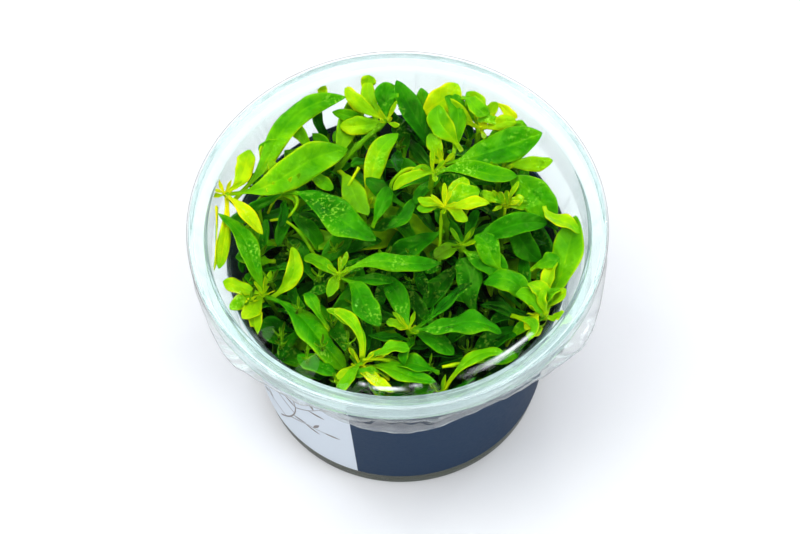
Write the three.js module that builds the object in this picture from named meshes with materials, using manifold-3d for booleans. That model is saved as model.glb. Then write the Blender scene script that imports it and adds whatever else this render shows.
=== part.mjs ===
// Tissue culture hygrophila: a clump of young shoots in a clear culture cup with gel, label and sealing film.
// Millimetres, +Z up, front at -Y, origin at the middle of the underside of the cup.

import * as THREE from 'three';
import { mergeVertices } from 'three/addons/utils/BufferGeometryUtils.js';
import Module from 'manifold-3d';

const wasm = await Module();
wasm.setup();

// Cup
const BASE_RADIUS = 36.5;
const WALL_FLARE = 0.092;
const WALL = 0.9;
const FLOOR = 1.2;
const BASE_ROUNDING = 0.8;
const LEDGE_LOW = 54.6;
const LEDGE_RISE = 1.9;
const MOUTH_RADIUS = 45.3;
const MOUTH_FOOT_RADIUS = 44.9;
const MOUTH_EDGE = 66.4;
const RIM_RADIUS = 49.6;
const RIM_TOP = 68.7;
const SKIRT_END = 63.2;
const RIM_UNDERSIDE = 1.1;
const ROUND_SIDES = 36;

// Sealing film
const FILM = 0.35;
const FILM_CLEARANCE = 0.3;
const FILM_TOP = RIM_TOP + FILM_CLEARANCE + FILM;
const FILM_RADIUS = RIM_RADIUS + FILM_CLEARANCE + FILM;
const HEM_RADIUS = 45.4;
const HEM_END = 53.4;

// Label and gel
const LABEL = 0.25;
const LABEL_CLEARANCE = 0.3;
const LABEL_LOW = 5.75;
const LABEL_HIGH = 53;
const GEL_TOP = 5.6;
const GEL_CLEARANCE = 0.3;

// Shoots and leaves
const STEM_RADIUS = 0.95;
const STEM_SIDES = 5;
const STEM_STEPS = 6;
const STEM_FOOT = GEL_TOP + 0.3;
const LEAF_HALF_THICKNESS = 0.42;
const STALK_HALF_WIDTH = 0.6;
const STALK_SHARE = 0.14;
const BLADE_SKEW = 0.8;
const BLADE_FULLNESS = 0.8;
const BLADE_FOLD = 0.22;
const LEAF_GAP = 0.3;
const TEST_SWELL = 0.15;
const INWARD_LEAN = 0.6 / MOUTH_RADIUS;
const FRONT_LEAN = 0.1;
const LONG_LEAF_STATIONS = [0, 0.12, 0.28, 0.46, 0.64, 0.8, 0.92];
const YOUNG_LEAF_STATIONS = [0, 0.34, 0.72];
const BUD_STATIONS = [0, 0.45];

// Tip buds: crossed pairs of tiny leaves at the top of every stem
const BUD_PAIRS = 2;
const BUD_LENGTH = 4.6;
const BUD_SHRINK = 0.72;
const BUD_WIDTH = 1.7;
const BUD_RISE = 0.54;
const BUD_RISE_GAIN = 0.36;
const BUD_TWIST = 0.25;

// Lower leaves: a pair half way up every stem, grown in one piece with it
const LOWER_SHARE = 0.52;
const LOWER_LENGTH = 19;
const LOWER_RISE = 0.32;
const LOWER_WIDTH = 6.4;
const LOWER_ARCH = 0.8;
const LOWER_STATIONS = [0, 0.5];
const LOWER_SHRINKS = [1, 0.85, 0.7, 0.55];
const LOWER_TURNS = [0, 20, -20, 40, -40, 60, -60];

// The two open pockets low in the clump: the middle of the foot, across and height of each
const POCKETS = [
  { foot: [-2, -4.5, 8], size: [14, 15, 40] },
  { foot: [14, -15, 8], size: [16, 18, 37] },
];

// How far a leaf may be moved to clear its neighbours
const SLIDES = [0, 0.04, 0.08, 0.12, 0.16, 0.2];
const LIFTS = [0, 1, -1, 2, -2, 3, -3, 4, -4, 5, -5, 6, -6];
const TURNS = [0, 1.5, -1.5, 3, -3, 4.5, -4.5];
const SLIDE_COST = 25;
const SMALLEST_OVERLAP = 1e-4;

const clearPlastic = { color: 0xd9ecec, roughness: 0.12, metalness: 0, transparent: true, opacity: 0.35 };
const clearFilm = { color: 0xf2fafa, roughness: 0.08, metalness: 0, transparent: true, opacity: 0.2 };
const labelPaper = { color: 0x34506f, roughness: 0.5, metalness: 0 };
const gelJelly = { color: 0x5c6150, roughness: 0.2, metalness: 0 };
const stemGreen = { color: 0x8aa822, roughness: 0.4, metalness: 0, flatShading: true };
const leafGreen = { color: 0x55a808, roughness: 0.3, metalness: 0, flatShading: true };

// Each stem: where it stands in the gel, the points it passes, and the young leaves fused to its top.
// A young leaf is [tip x, tip y, tip z, width, arch, sway].
const SHOOTS = [
  { name: 'shoot_01', path: [[-22, 8], [-32, 10, 44], [-41.3, 11.5, 65]],
    young: [[-35, 22.5, 67.5, 4.6, 0.5, -1.5], [-32.2, 2.8, 60, 3.4, 1, 0]] },
  { name: 'shoot_02', path: [[-13, 13], [-17.5, 21.5, 50], [-11.4, 26, 58.5], [-2, 33.6, 62]],
    young: [[-12, 40, 67.6, 3.4, 0, 1], [-6.2, 42.8, 67.8, 3.4, 0, 0.5], [-14, 33, 61, 4.4, 0.5, 1]] },
  { name: 'shoot_03', path: [[7, 15], [9.5, 20, 40], [11.5, 22.5, 59]],
    young: [[8.5, 29, 62.5, 3.6, 0.5, 0]] },
  { name: 'shoot_04', path: [[15, 21], [19, 28, 42], [21, 31, 61]],
    young: [[30, 29.6, 65.5, 3.4, 0.8, 0], [25.4, 34.4, 67.4, 2.8, 0, 0], [10.5, 36.4, 63.5, 5, 1.5, 0]] },
  { name: 'shoot_05', path: [[4, 9], [6.5, 12.5, 42], [9, 16, 65]],
    young: [[-1, 12.5, 62.5, 2.4, 2.5, 0]] },
  { name: 'shoot_06', path: [[9, 1], [12, 4, 46], [11.4, 6, 64.8]],
    young: [[22.2, 6.4, 64.4, 2.8, 0.6, 0], [5, 7.8, 66, 2.2, 0.3, 0], [17, 3, 63, 2.6, 0.5, 0]] },
  { name: 'shoot_07', path: [[18, 7], [23, 8.5, 40], [26.2, 9.4, 60]],
    young: [[20.8, 10.4, 63.5, 2.4, 0.4, 0], [30.6, 8.4, 62.4, 2.4, 0.4, 0]] },
  { name: 'shoot_08', path: [[20, 14], [23.5, 16.5, 42], [26, 18.8, 61]],
    young: [[38, 16.6, 67.4, 3.6, 0.6, 0]] },
  { name: 'shoot_09', path: [[24, -14], [29.5, -16.5, 36], [33, -18, 55]],
    young: [[37.5, -6.4, 58.5, 3.2, 0.5, 0], [29.5, -24, 57, 3, 0.6, 0], [39.5, -15.5, 61, 3, 0.4, 0]] },
  { name: 'shoot_10', path: [[13, -4], [15, -1, 40], [15.5, 0.5, 56.5]],
    young: [[8.5, -3, 56.5, 3.8, 0.8, 0]] },
  { name: 'shoot_11', path: [[3, -14], [3, -19, 38], [2, -22.4, 57]],
    young: [[-3.4, -21, 57.5, 2.4, 0.6, 0]] },
  { name: 'shoot_12', path: [[-7, -20], [-9, -26, 38], [-9.6, -30, 53.5]],
    young: [[-15.8, -35, 54, 2.6, 0.8, 0], [-3.6, -27.6, 55, 2.6, 0.8, 0], [-2.6, -40.6, 60.5, 2.8, -1, 0]] },
  { name: 'shoot_13', path: [[8, -26], [8.6, -33, 36], [9, -36, 49]], young: [] },
  { name: 'shoot_14', path: [[-22, -8], [-28, -10, 36], [-32.4, -11, 55]],
    young: [[-41.6, -9.6, 59.5, 3.8, -0.5, 0], [-37, -19.6, 59.5, 4.2, -0.5, 0]] },
  { name: 'shoot_15', path: [[-11, -5], [-13, -6, 36], [-14.3, -7, 57]],
    young: [[-17, -13.5, 57, 2.6, 0.6, 0]] },
  { name: 'shoot_16', path: [[-19, 14.5], [-24, 15.5, 40], [-27.6, 15, 60.5]],
    young: [[-30.6, 21.5, 64, 2.8, 0.3, 0]] },
  { name: 'shoot_17', path: [[-4, 5], [-7, 9.5, 38], [-8.6, 12.4, 55.5]],
    young: [[-2.4, 17, 58, 3.4, 0.6, 0]] },
];

// Each large leaf: its shoot, how far up the stem it grows, its tip, its widest width, how much its middle
// is lifted (arch) and bowed sideways (sway), and how far the blade turns about its own length, in degrees.
const LEAVES = [
  ['shoot_01', 0.99, [-11.6, 26.4, 60.5], 8.6, 1.5, -1.5, -12],
  ['shoot_01', 0.96, [-12.8, 39.4, 65], 8.4, 0, 4.5, 20],
  ['shoot_16', 0.98, [-4.8, 0.6, 61], 8.8, 1.5, 0, 8],
  ['shoot_14', 0.98, [-12, -29.2, 51], 8.8, 2, 0.5, 10],
  ['shoot_11', 0.98, [24.4, -23.4, 58], 7, 2, 0, 6],
  ['shoot_03', 0.99, [35.8, 26.6, 66.6], 9, 0.6, -1, 14],
  ['shoot_08', 0.97, [37.6, 3.4, 62], 8, 1.6, 0.5, 0],
  ['shoot_05', 0.98, [29.6, 15.4, 63.6], 4.8, 1.2, 0.4, 10],
  ['shoot_09', 0.95, [41, 1.4, 66.4], 8.4, -0.6, -2.4, 0],
  ['shoot_15', 0.98, [10, -6, 58], 5.2, 4, 0, 4],
  ['shoot_15', 0.96, [-4.8, -21.4, 56], 6.2, 1.6, 0.4, 0],
  ['shoot_03', 0.96, [0.6, 42.2, 66.4], 5.6, 0.6, 0, -16],
  ['shoot_14', 0.96, [-41.6, 6.4, 65.4], 5.4, -1, -1.4, 0],
  ['shoot_10', 0.98, [36, 3.2, 60], 5.6, 1.6, 1, -8],
  ['shoot_17', 0.97, [1, 28.4, 63.6], 5.4, 0.6, 2, 0],
  ['shoot_02', 0.99, [0.2, 41, 67], 6, 0.6, 1, 0],
  ['shoot_04', 0.97, [18, 38.6, 66], 5.4, 0.6, -1, 0],
  ['shoot_03', 0.93, [6.8, 41, 67], 5.6, 0.4, 0, 20],
  ['shoot_06', 0.94, [20.4, 10.4, 65], 5.6, 1.2, 0.8, 0],
  ['shoot_10', 0.95, [25.8, -8, 54], 6, 1.4, 0, 0],
  ['shoot_09', 0.98, [20, -10.4, 57], 6, 1.6, -3, 0],
  ['shoot_11', 0.94, [12.2, -28.6, 54], 4.6, 1.2, 0.6, 0],
  ['shoot_11', 0.95, [-4.4, -6.4, 55], 5, 0.8, -1, 14],
  ['shoot_12', 0.95, [8, -35.8, 54.6], 4.8, 1.4, 0, 0],
  ['shoot_13', 0.98, [24.6, -29.6, 58], 3.6, 3, 2, 0],
  ['shoot_12', 0.98, [-17.6, -15.4, 55.4], 2.8, 3, -3, 0],
  ['shoot_14', 0.93, [-25.8, -1.2, 60], 4, 0, -3.4, 0],
  ['shoot_15', 0.92, [-23, 1.6, 53], 3.8, 1, 0, 0],
  ['shoot_01', 0.98, [-43, -6, 59], 3.4, 0, 0.6, 0],
  ['shoot_17', 0.88, [-18.6, -0.6, 51.4], 5, 1.4, 0, 0],
  ['shoot_16', 0.84, [-19, 3.4, 50], 4.2, 1, 0, 0],
  ['shoot_12', 0.8, [-21.6, -8.4, 48], 4.8, 1, 0, 0],
  ['shoot_12', 0.72, [-25, -25.6, 46], 6.4, 1.6, 0, 0],
  ['shoot_09', 0.8, [17.6, -24.6, 48], 5.6, 1.6, 0, 0],
  ['shoot_07', 0.84, [34.4, -3.4, 53], 6, 1.2, 0, 0],
  ['shoot_10', 0.8, [6.4, -11.8, 47], 5.4, 1.4, 0, 0],
  ['shoot_06', 0.76, [-3.6, -1, 49], 5.4, 1.4, 0, 0],
  ['shoot_02', 0.66, [-27.6, 27, 56], 5, 1.2, 0, 0],
  ['shoot_04', 0.8, [33, 20, 54.6], 6, 1.2, 0, 0],
];

function wallRadius(z) {
  return BASE_RADIUS + WALL_FLARE * z;
}

// The room inside the cup at a height, as a radius
function innerRadius(z) {
  if (z < LEDGE_LOW + LEDGE_RISE) {
    return Math.min(wallRadius(z), wallRadius(LEDGE_LOW)) - WALL;
  }
  return MOUTH_FOOT_RADIUS;
}

function latheOf(points) {
  const profile = points.map(([radius, z]) => new THREE.Vector2(radius, z));
  const geometry = new THREE.LatheGeometry(profile, ROUND_SIDES);
  geometry.rotateX(Math.PI / 2);
  return geometry;
}

function cupGeometry() {
  const ledgeOuter = wallRadius(LEDGE_LOW);
  return latheOf([
    [0, 0],
    [BASE_RADIUS - BASE_ROUNDING, 0],
    [wallRadius(BASE_ROUNDING), BASE_ROUNDING],
    [ledgeOuter, LEDGE_LOW],
    [MOUTH_FOOT_RADIUS + WALL, LEDGE_LOW + LEDGE_RISE],
    [MOUTH_RADIUS + WALL, MOUTH_EDGE - WALL],
    [RIM_RADIUS - WALL, RIM_TOP - RIM_UNDERSIDE],
    [RIM_RADIUS - WALL, SKIRT_END],
    [RIM_RADIUS, SKIRT_END],
    [RIM_RADIUS, RIM_TOP - WALL],
    [RIM_RADIUS - WALL / 2, RIM_TOP],
    [MOUTH_RADIUS + WALL, MOUTH_EDGE + WALL],
    [MOUTH_RADIUS, MOUTH_EDGE],
    [MOUTH_FOOT_RADIUS, LEDGE_LOW + LEDGE_RISE + WALL],
    [ledgeOuter - WALL, LEDGE_LOW + WALL / 2],
    [wallRadius(FLOOR) - WALL, FLOOR],
    [0, FLOOR],
  ]);
}

function filmGeometry() {
  const inside = FILM_RADIUS - FILM;
  return latheOf([
    [0, FILM_TOP - FILM],
    [RIM_RADIUS - WALL / 2, FILM_TOP - FILM],
    [inside, RIM_TOP - WALL],
    [inside, SKIRT_END],
    [HEM_RADIUS - FILM, HEM_END],
    [HEM_RADIUS, HEM_END],
    [FILM_RADIUS, SKIRT_END],
    [FILM_RADIUS, RIM_TOP - WALL / 2],
    [RIM_RADIUS - WALL / 2, FILM_TOP],
    [0, FILM_TOP],
  ]);
}

function labelGeometry() {
  const low = wallRadius(LABEL_LOW) + LABEL_CLEARANCE;
  const high = wallRadius(LABEL_HIGH) + LABEL_CLEARANCE;
  return latheOf([
    [low, LABEL_LOW],
    [low + LABEL, LABEL_LOW],
    [high + LABEL, LABEL_HIGH],
    [high, LABEL_HIGH],
    [low, LABEL_LOW],
  ]);
}

function gelGeometry() {
  const low = FLOOR + GEL_CLEARANCE;
  const shrink = WALL + GEL_CLEARANCE;
  return latheOf([
    [0, low],
    [wallRadius(low) - shrink, low],
    [wallRadius(GEL_TOP) - shrink, GEL_TOP],
    [0, GEL_TOP],
  ]);
}

function toSolid(geometry) {
  const bare = geometry.clone();
  bare.deleteAttribute('normal');
  bare.deleteAttribute('uv');
  const merged = mergeVertices(bare, 1e-4);
  const triVerts = new Uint32Array(merged.index.array);
  const vertProperties = new Float32Array(merged.attributes.position.array);
  return new wasm.Manifold(new wasm.Mesh({ numProp: 3, vertProperties, triVerts }));
}

function toGeometry(solid) {
  const mesh = solid.getMesh();
  const geometry = new THREE.BufferGeometry();
  geometry.setAttribute('position', new THREE.BufferAttribute(mesh.vertProperties, 3));
  geometry.setIndex(new THREE.BufferAttribute(mesh.triVerts, 1));
  geometry.computeVertexNormals();
  return geometry;
}

function stemCurve(shoot) {
  const points = shoot.path.map(([x, y, z = STEM_FOOT]) => new THREE.Vector3(x, y, z));
  return new THREE.CatmullRomCurve3(points);
}

function stemGeometry(curve) {
  const section = new THREE.Shape();
  for (let side = 0; side < STEM_SIDES; side += 1) {
    const angle = (2 * Math.PI * side) / STEM_SIDES;
    const draw = side === 0 ? 'moveTo' : 'lineTo';
    section[draw](STEM_RADIUS * Math.cos(angle), STEM_RADIUS * Math.sin(angle));
  }
  return new THREE.ExtrudeGeometry(section, { steps: STEM_STEPS, bevelEnabled: false, extrudePath: curve });
}

// A leaf's midline: one smooth bow from base to tip, lifted by arch and pushed sideways by sway
function leafSpine(base, tip, arch, sway) {
  const run = tip.clone().sub(base).setZ(0).normalize();
  const middle = base.clone().add(tip).multiplyScalar(0.5);
  middle.add(new THREE.Vector3(-run.y, run.x, 0).multiplyScalar(2 * sway));
  middle.z += 2 * arch;
  return new THREE.QuadraticBezierCurve3(base, middle, tip);
}

// Half the blade's width at a share of its length, with a narrow stalk at its start
function halfWidth(share, width) {
  const along = (share - STALK_SHARE) / (1 - STALK_SHARE);
  if (along <= 0) {
    return STALK_HALF_WIDTH;
  }
  const swell = Math.sin(Math.PI * along ** BLADE_SKEW) ** BLADE_FULLNESS;
  return Math.max(STALK_HALF_WIDTH, (width / 2) * swell);
}

// A leaf as a thin lens-section solid, its two halves folded up a little from the midrib
function leafGeometry({ spine, width, roll = 0, swell = 0, stations = LONG_LEAF_STATIONS }) {
  const positions = [];
  const faces = [];
  const turn = THREE.MathUtils.degToRad(roll);
  for (const share of stations) {
    const centre = spine.getPoint(share);
    const along = spine.getTangent(share);
    const face = new THREE.Vector3(-centre.x * INWARD_LEAN, -centre.y * INWARD_LEAN - FRONT_LEAN, 1);
    const flatSide = along.clone().cross(face).normalize();
    const flatUp = flatSide.clone().cross(along).normalize();
    const side = flatSide.clone().multiplyScalar(Math.cos(turn)).addScaledVector(flatUp, Math.sin(turn));
    const up = flatUp.clone().multiplyScalar(Math.cos(turn)).addScaledVector(flatSide, -Math.sin(turn));
    const half = halfWidth(share, width) + swell;
    const raised = BLADE_FOLD * (half - STALK_HALF_WIDTH);
    const thick = LEAF_HALF_THICKNESS + swell;
    const ring = [
      centre.clone().addScaledVector(side, half).addScaledVector(up, raised),
      centre.clone().addScaledVector(up, -thick),
      centre.clone().addScaledVector(side, -half).addScaledVector(up, raised),
      centre.clone().addScaledVector(up, thick),
    ];
    ring.forEach((point) => positions.push(point.x, point.y, point.z));
  }
  const tip = spine.getPoint(1).addScaledVector(spine.getTangent(1), swell);
  positions.push(tip.x, tip.y, tip.z);
  const corners = 4;
  const tipIndex = corners * stations.length;
  const lastRing = tipIndex - corners;
  for (let corner = 0; corner < corners; corner += 1) {
    const next = (corner + 1) % corners;
    for (let ring = 0; ring < lastRing; ring += corners) {
      faces.push(ring + corner, ring + next, ring + corners + next);
      faces.push(ring + corner, ring + corners + next, ring + corners + corner);
    }
    faces.push(lastRing + corner, lastRing + next, tipIndex);
  }
  faces.push(0, 3, 1, 1, 3, 2);
  const geometry = new THREE.BufferGeometry();
  geometry.setAttribute('position', new THREE.Float32BufferAttribute(positions, 3));
  geometry.setIndex(faces);
  return geometry;
}

// Solids already in place, each with its name
const placed = [];

function place(name, solid) {
  placed.push({ name, solid, box: solid.boundingBox() });
}

function boxesTouch(one, other) {
  return [0, 1, 2].every((axis) => one.min[axis] < other.max[axis] && other.min[axis] < one.max[axis]);
}

// Whether a solid meets nothing that is in place, apart from the one piece that may touch it
function isClear(solid, exceptName = '') {
  const box = solid.boundingBox();
  const near = placed.filter((other) => other.name !== exceptName && boxesTouch(box, other.box));
  return near.every((other) => solid.intersect(other.solid).volume() < SMALLEST_OVERLAP);
}

function isInsideCup(geometry) {
  const spots = geometry.attributes.position;
  for (let index = 0; index < spots.count; index += 1) {
    const [x, y, z] = [spots.getX(index), spots.getY(index), spots.getZ(index)];
    const tooWide = Math.hypot(x, y) > innerRadius(z) - LEAF_GAP;
    const tooHigh = z > FILM_TOP - FILM - LEAF_GAP;
    if (tooWide || tooHigh || z < STEM_FOOT) {
      return false;
    }
  }
  return true;
}

// Every way a leaf may be moved, the smallest change first
function movesInOrder() {
  const moves = [];
  for (const slide of SLIDES) {
    for (const lift of LIFTS) {
      for (const turn of TURNS) {
        moves.push({ slide, lift, turn, cost: SLIDE_COST * slide + Math.abs(lift) + Math.abs(turn) });
      }
    }
  }
  return moves.sort((one, other) => one.cost - other.cost);
}

const MOVES = movesInOrder();

// The spine of a leaf on its stem after a move; start is how far its base stands off the stem's middle
function movedSpine(leaf, curve, start, move) {
  const root = curve.getPoint(Math.max(leaf.at - move.slide, 0));
  const tip = new THREE.Vector3(...leaf.tip);
  const run = tip.clone().sub(root).setZ(0).normalize();
  tip.add(new THREE.Vector3(-run.y, run.x, 0).multiplyScalar(move.turn));
  tip.z += move.lift;
  const aim = tip.clone().sub(root).setZ(0).normalize();
  return leafSpine(root.addScaledVector(aim, start), tip, leaf.arch, leaf.sway);
}

// Moves a leaf until it clears the cup and everything already placed, and gives its geometry. A leaf that
// starts in the middle of its stem is one piece with it, so only a leaf that stands off is kept clear of it.
function settle(leaf, curve, start, stations) {
  for (const move of MOVES) {
    const spine = movedSpine(leaf, curve, start, move);
    const shape = { spine, width: leaf.width, roll: leaf.roll, stations };
    const swollen = leafGeometry({ ...shape, swell: TEST_SWELL });
    if (isInsideCup(swollen) && isClear(toSolid(swollen), leaf.shoot)) {
      const geometry = leafGeometry(shape);
      if (start === 0 || isClear(toSolid(geometry))) {
        return geometry;
      }
    }
  }
  throw new Error(`no room for ${leaf.name}`);
}

function named(name, geometry, look) {
  const mesh = new THREE.Mesh(geometry, new THREE.MeshStandardMaterial(look));
  mesh.name = name;
  return mesh;
}

const group = new THREE.Group();
group.add(named('cup', cupGeometry(), clearPlastic));
group.add(named('sealing_film', filmGeometry(), clearFilm));
group.add(named('label', labelGeometry(), labelPaper));
group.add(named('agar_gel', gelGeometry(), gelJelly));

// Stems go in first, then the large leaves, then the young leaves and buds that are fused to the stems
const curves = new Map();
for (const shoot of SHOOTS) {
  const curve = stemCurve(shoot);
  const stem = toSolid(stemGeometry(curve));
  if (!isClear(stem)) {
    throw new Error(`${shoot.name} crosses another stem`);
  }
  curves.set(shoot.name, curve);
  place(shoot.name, stem);
}

LEAVES.forEach(([shoot, at, tip, width, arch, sway, roll], index) => {
  const name = `leaf_${String(index + 1).padStart(2, '0')}`;
  const leaf = { name, shoot, at, tip, width, arch, sway, roll };
  const geometry = settle(leaf, curves.get(shoot), STEM_RADIUS + LEAF_GAP, LONG_LEAF_STATIONS);
  group.add(named(name, geometry, leafGreen));
  place(name, toSolid(geometry));
});

// Crossed pairs of tiny leaves above a stem's top; one that would meet a neighbour is left off
function budSolids(shoot, curve) {
  const top = curve.getPoint(1);
  const heading = Math.atan2(top.y, top.x);
  const solids = [];
  for (let pair = 0; pair < BUD_PAIRS; pair += 1) {
    const length = BUD_LENGTH * BUD_SHRINK ** pair;
    for (let side = 0; side < 2; side += 1) {
      const angle = heading + Math.PI * (side + pair / 2 + BUD_TWIST);
      const rise = length * (BUD_RISE + BUD_RISE_GAIN * pair);
      const reach = new THREE.Vector3(length * Math.cos(angle), length * Math.sin(angle), rise);
      const spine = leafSpine(top.clone(), top.clone().add(reach), 0, 0);
      const width = BUD_WIDTH * BUD_SHRINK ** pair;
      const swollen = leafGeometry({ spine, width, swell: TEST_SWELL, stations: BUD_STATIONS });
      if (isInsideCup(swollen) && isClear(toSolid(swollen), shoot.name)) {
        solids.push(toSolid(leafGeometry({ spine, width, stations: BUD_STATIONS })));
      }
    }
  }
  return solids;
}

// The pockets as blocks that the lower leaves are kept out of
const pockets = POCKETS.map(({ foot: [x, y, z], size: [length, depth, height] }) => {
  const block = new THREE.BoxGeometry(length, depth, height).translate(x, y, z + height / 2);
  return toSolid(block);
});

// True if a leaf and the space between it and its stem stay out of the pockets
function leavesPocketsOpen(leaf, stem) {
  const reach = wasm.Manifold.hull([leaf, stem]);
  return pockets.every((pocket) => reach.intersect(pocket).isEmpty());
}

// One lower leaf in the first direction and at the first size that clear everything, or none
function lowerLeafSolid(shoot, curve, heading) {
  const stem = toSolid(stemGeometry(curve));
  const root = curve.getPoint(LOWER_SHARE);
  for (const shrink of LOWER_SHRINKS) {
    for (const turn of LOWER_TURNS) {
      const length = LOWER_LENGTH * shrink;
      const angle = heading + THREE.MathUtils.degToRad(turn);
      const reach = new THREE.Vector3(Math.cos(angle), Math.sin(angle), LOWER_RISE).multiplyScalar(length);
      const spine = leafSpine(root.clone(), root.clone().add(reach), LOWER_ARCH, 0);
      const shape = { spine, width: LOWER_WIDTH * shrink, stations: LOWER_STATIONS };
      const swollen = leafGeometry({ ...shape, swell: TEST_SWELL });
      const solid = toSolid(swollen);
      if (isInsideCup(swollen) && isClear(solid, shoot.name) && leavesPocketsOpen(solid, stem)) {
        return toSolid(leafGeometry(shape));
      }
    }
  }
  return null;
}

// The pair of lower leaves of a stem, one outward and one inward
function lowerLeafSolids(shoot, curve) {
  const top = curve.getPoint(1);
  const outward = Math.atan2(top.y, top.x);
  return [outward, outward + Math.PI]
    .map((heading) => lowerLeafSolid(shoot, curve, heading))
    .filter((solid) => solid !== null);
}

for (const shoot of SHOOTS) {
  const curve = curves.get(shoot.name);
  const own = placed.find((other) => other.name === shoot.name);
  let whole = own.solid;
  for (const [x, y, z, width, arch, sway] of shoot.young) {
    const name = `a young leaf of ${shoot.name}`;
    const leaf = { name, shoot: shoot.name, at: 1, tip: [x, y, z], width, arch, sway, roll: 0 };
    whole = whole.add(toSolid(settle(leaf, curve, 0, YOUNG_LEAF_STATIONS)));
  }
  for (const bud of budSolids(shoot, curve)) {
    whole = whole.add(bud);
  }
  own.solid = whole;
  own.box = whole.boundingBox();
}

for (const shoot of SHOOTS) {
  const own = placed.find((other) => other.name === shoot.name);
  for (const leaf of lowerLeafSolids(shoot, curves.get(shoot.name))) {
    own.solid = own.solid.add(leaf);
    own.box = own.solid.boundingBox();
  }
  group.add(named(shoot.name, toGeometry(own.solid), stemGreen));
}

export default group;
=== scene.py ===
"""Tissue culture hygrophila in its clear cup: finishes, fine leaves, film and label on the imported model."""
import itertools
import math

import bpy
import numpy as np
from mathutils import Matrix, Vector


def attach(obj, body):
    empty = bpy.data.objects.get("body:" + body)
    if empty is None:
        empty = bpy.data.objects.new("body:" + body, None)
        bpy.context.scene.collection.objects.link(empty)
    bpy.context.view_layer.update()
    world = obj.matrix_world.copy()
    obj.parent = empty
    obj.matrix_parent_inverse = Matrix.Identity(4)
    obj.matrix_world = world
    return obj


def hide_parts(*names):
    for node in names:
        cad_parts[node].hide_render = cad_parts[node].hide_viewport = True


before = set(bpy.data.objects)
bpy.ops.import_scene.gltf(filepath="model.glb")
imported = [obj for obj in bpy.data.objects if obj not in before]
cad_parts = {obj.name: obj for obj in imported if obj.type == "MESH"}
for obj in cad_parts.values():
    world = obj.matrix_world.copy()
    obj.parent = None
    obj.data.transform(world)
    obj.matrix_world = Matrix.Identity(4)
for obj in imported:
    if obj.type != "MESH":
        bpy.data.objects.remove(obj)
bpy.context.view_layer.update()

# All lengths below are millimetres unless a comment says otherwise; meshes are made in metres
MM = 0.001

# Cup, as in the solids
BASE_RADIUS = 36.5
WALL_FLARE = 0.092
WALL = 0.9
FLOOR = 1.2
LEDGE_LOW = 54.6
LEDGE_RISE = 1.9
MOUTH_RADIUS = 45.3
MOUTH_FOOT_RADIUS = 44.9
MOUTH_EDGE = 66.4
RIM_RADIUS = 49.6
RIM_TOP = 68.7
RIM_UNDERSIDE = 1.1
SKIRT_END = 63.2
ROUND_STEPS = 192

# Film, label and gel
FILM = 0.12
FILM_LEVEL = 69.05
FILM_RADIUS = 50.0
FILM_SHOULDER = 0.85
HEM_RADIUS = 41.9
HEM_END = 50.6
HEM_STANDOFF = 0.55
LABEL_LOW = 5.75
LABEL_HIGH = 53.0
LABEL_OFFSET = 0.12
LABEL_THICKNESS = 0.16
GEL_TOP = 5.6
GEL_GAP = 0.1
GEL_CREEP = 0.25

# Shoots and leaves, as in the solids
STEM_RADIUS = 0.95
STEM_FOOT = GEL_TOP + 0.3
STALK_SHARE = 0.14
SOLID_HALF_THICKNESS = 0.42
SOLID_STALK = 0.6
SOLID_FOLD = 0.22
SOLID_SKEW = 0.8
SOLID_FULLNESS = 0.8
LEAF_GAP = 0.3
INWARD_LEAN = 0.6 / MOUTH_RADIUS
FRONT_LEAN = 0.1
LOWER_SHARE = 0.52
LOWER_LENGTH = 19.0
LOWER_RISE = 0.32
LOWER_WIDTH = 6.4
LOWER_ARCH = 0.8

# Moves that a leaf's solid may have made to clear its neighbours, and where its outline has points
SLIDES = (0, 0.04, 0.08, 0.12, 0.16, 0.2)
LIFTS = (0, 1, -1, 2, -2, 3, -3, 4, -4, 5, -5, 6, -6)
TURNS = (0, 1.5, -1.5, 3, -3, 4.5, -4.5)
LOWER_SHRINKS = (1, 0.85, 0.7, 0.55)
LOWER_TURNS = (0, 20, -20, 40, -40, 60, -60)
LONG_STATIONS = (0, 0.12, 0.28, 0.46, 0.64, 0.8, 0.92)
YOUNG_STATIONS = (0, 0.34, 0.72)
SAME_PLACE = 0.05

# The camera that took the photograph: place, degrees down and rolled, lens and sensor
CAMERA_PLACE = (0.32, -254.0, 477.9)
CAMERA_DOWN = 59.47
CAMERA_ROLL = -1.65
LENS = 91.5
SENSOR = 36.0

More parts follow.
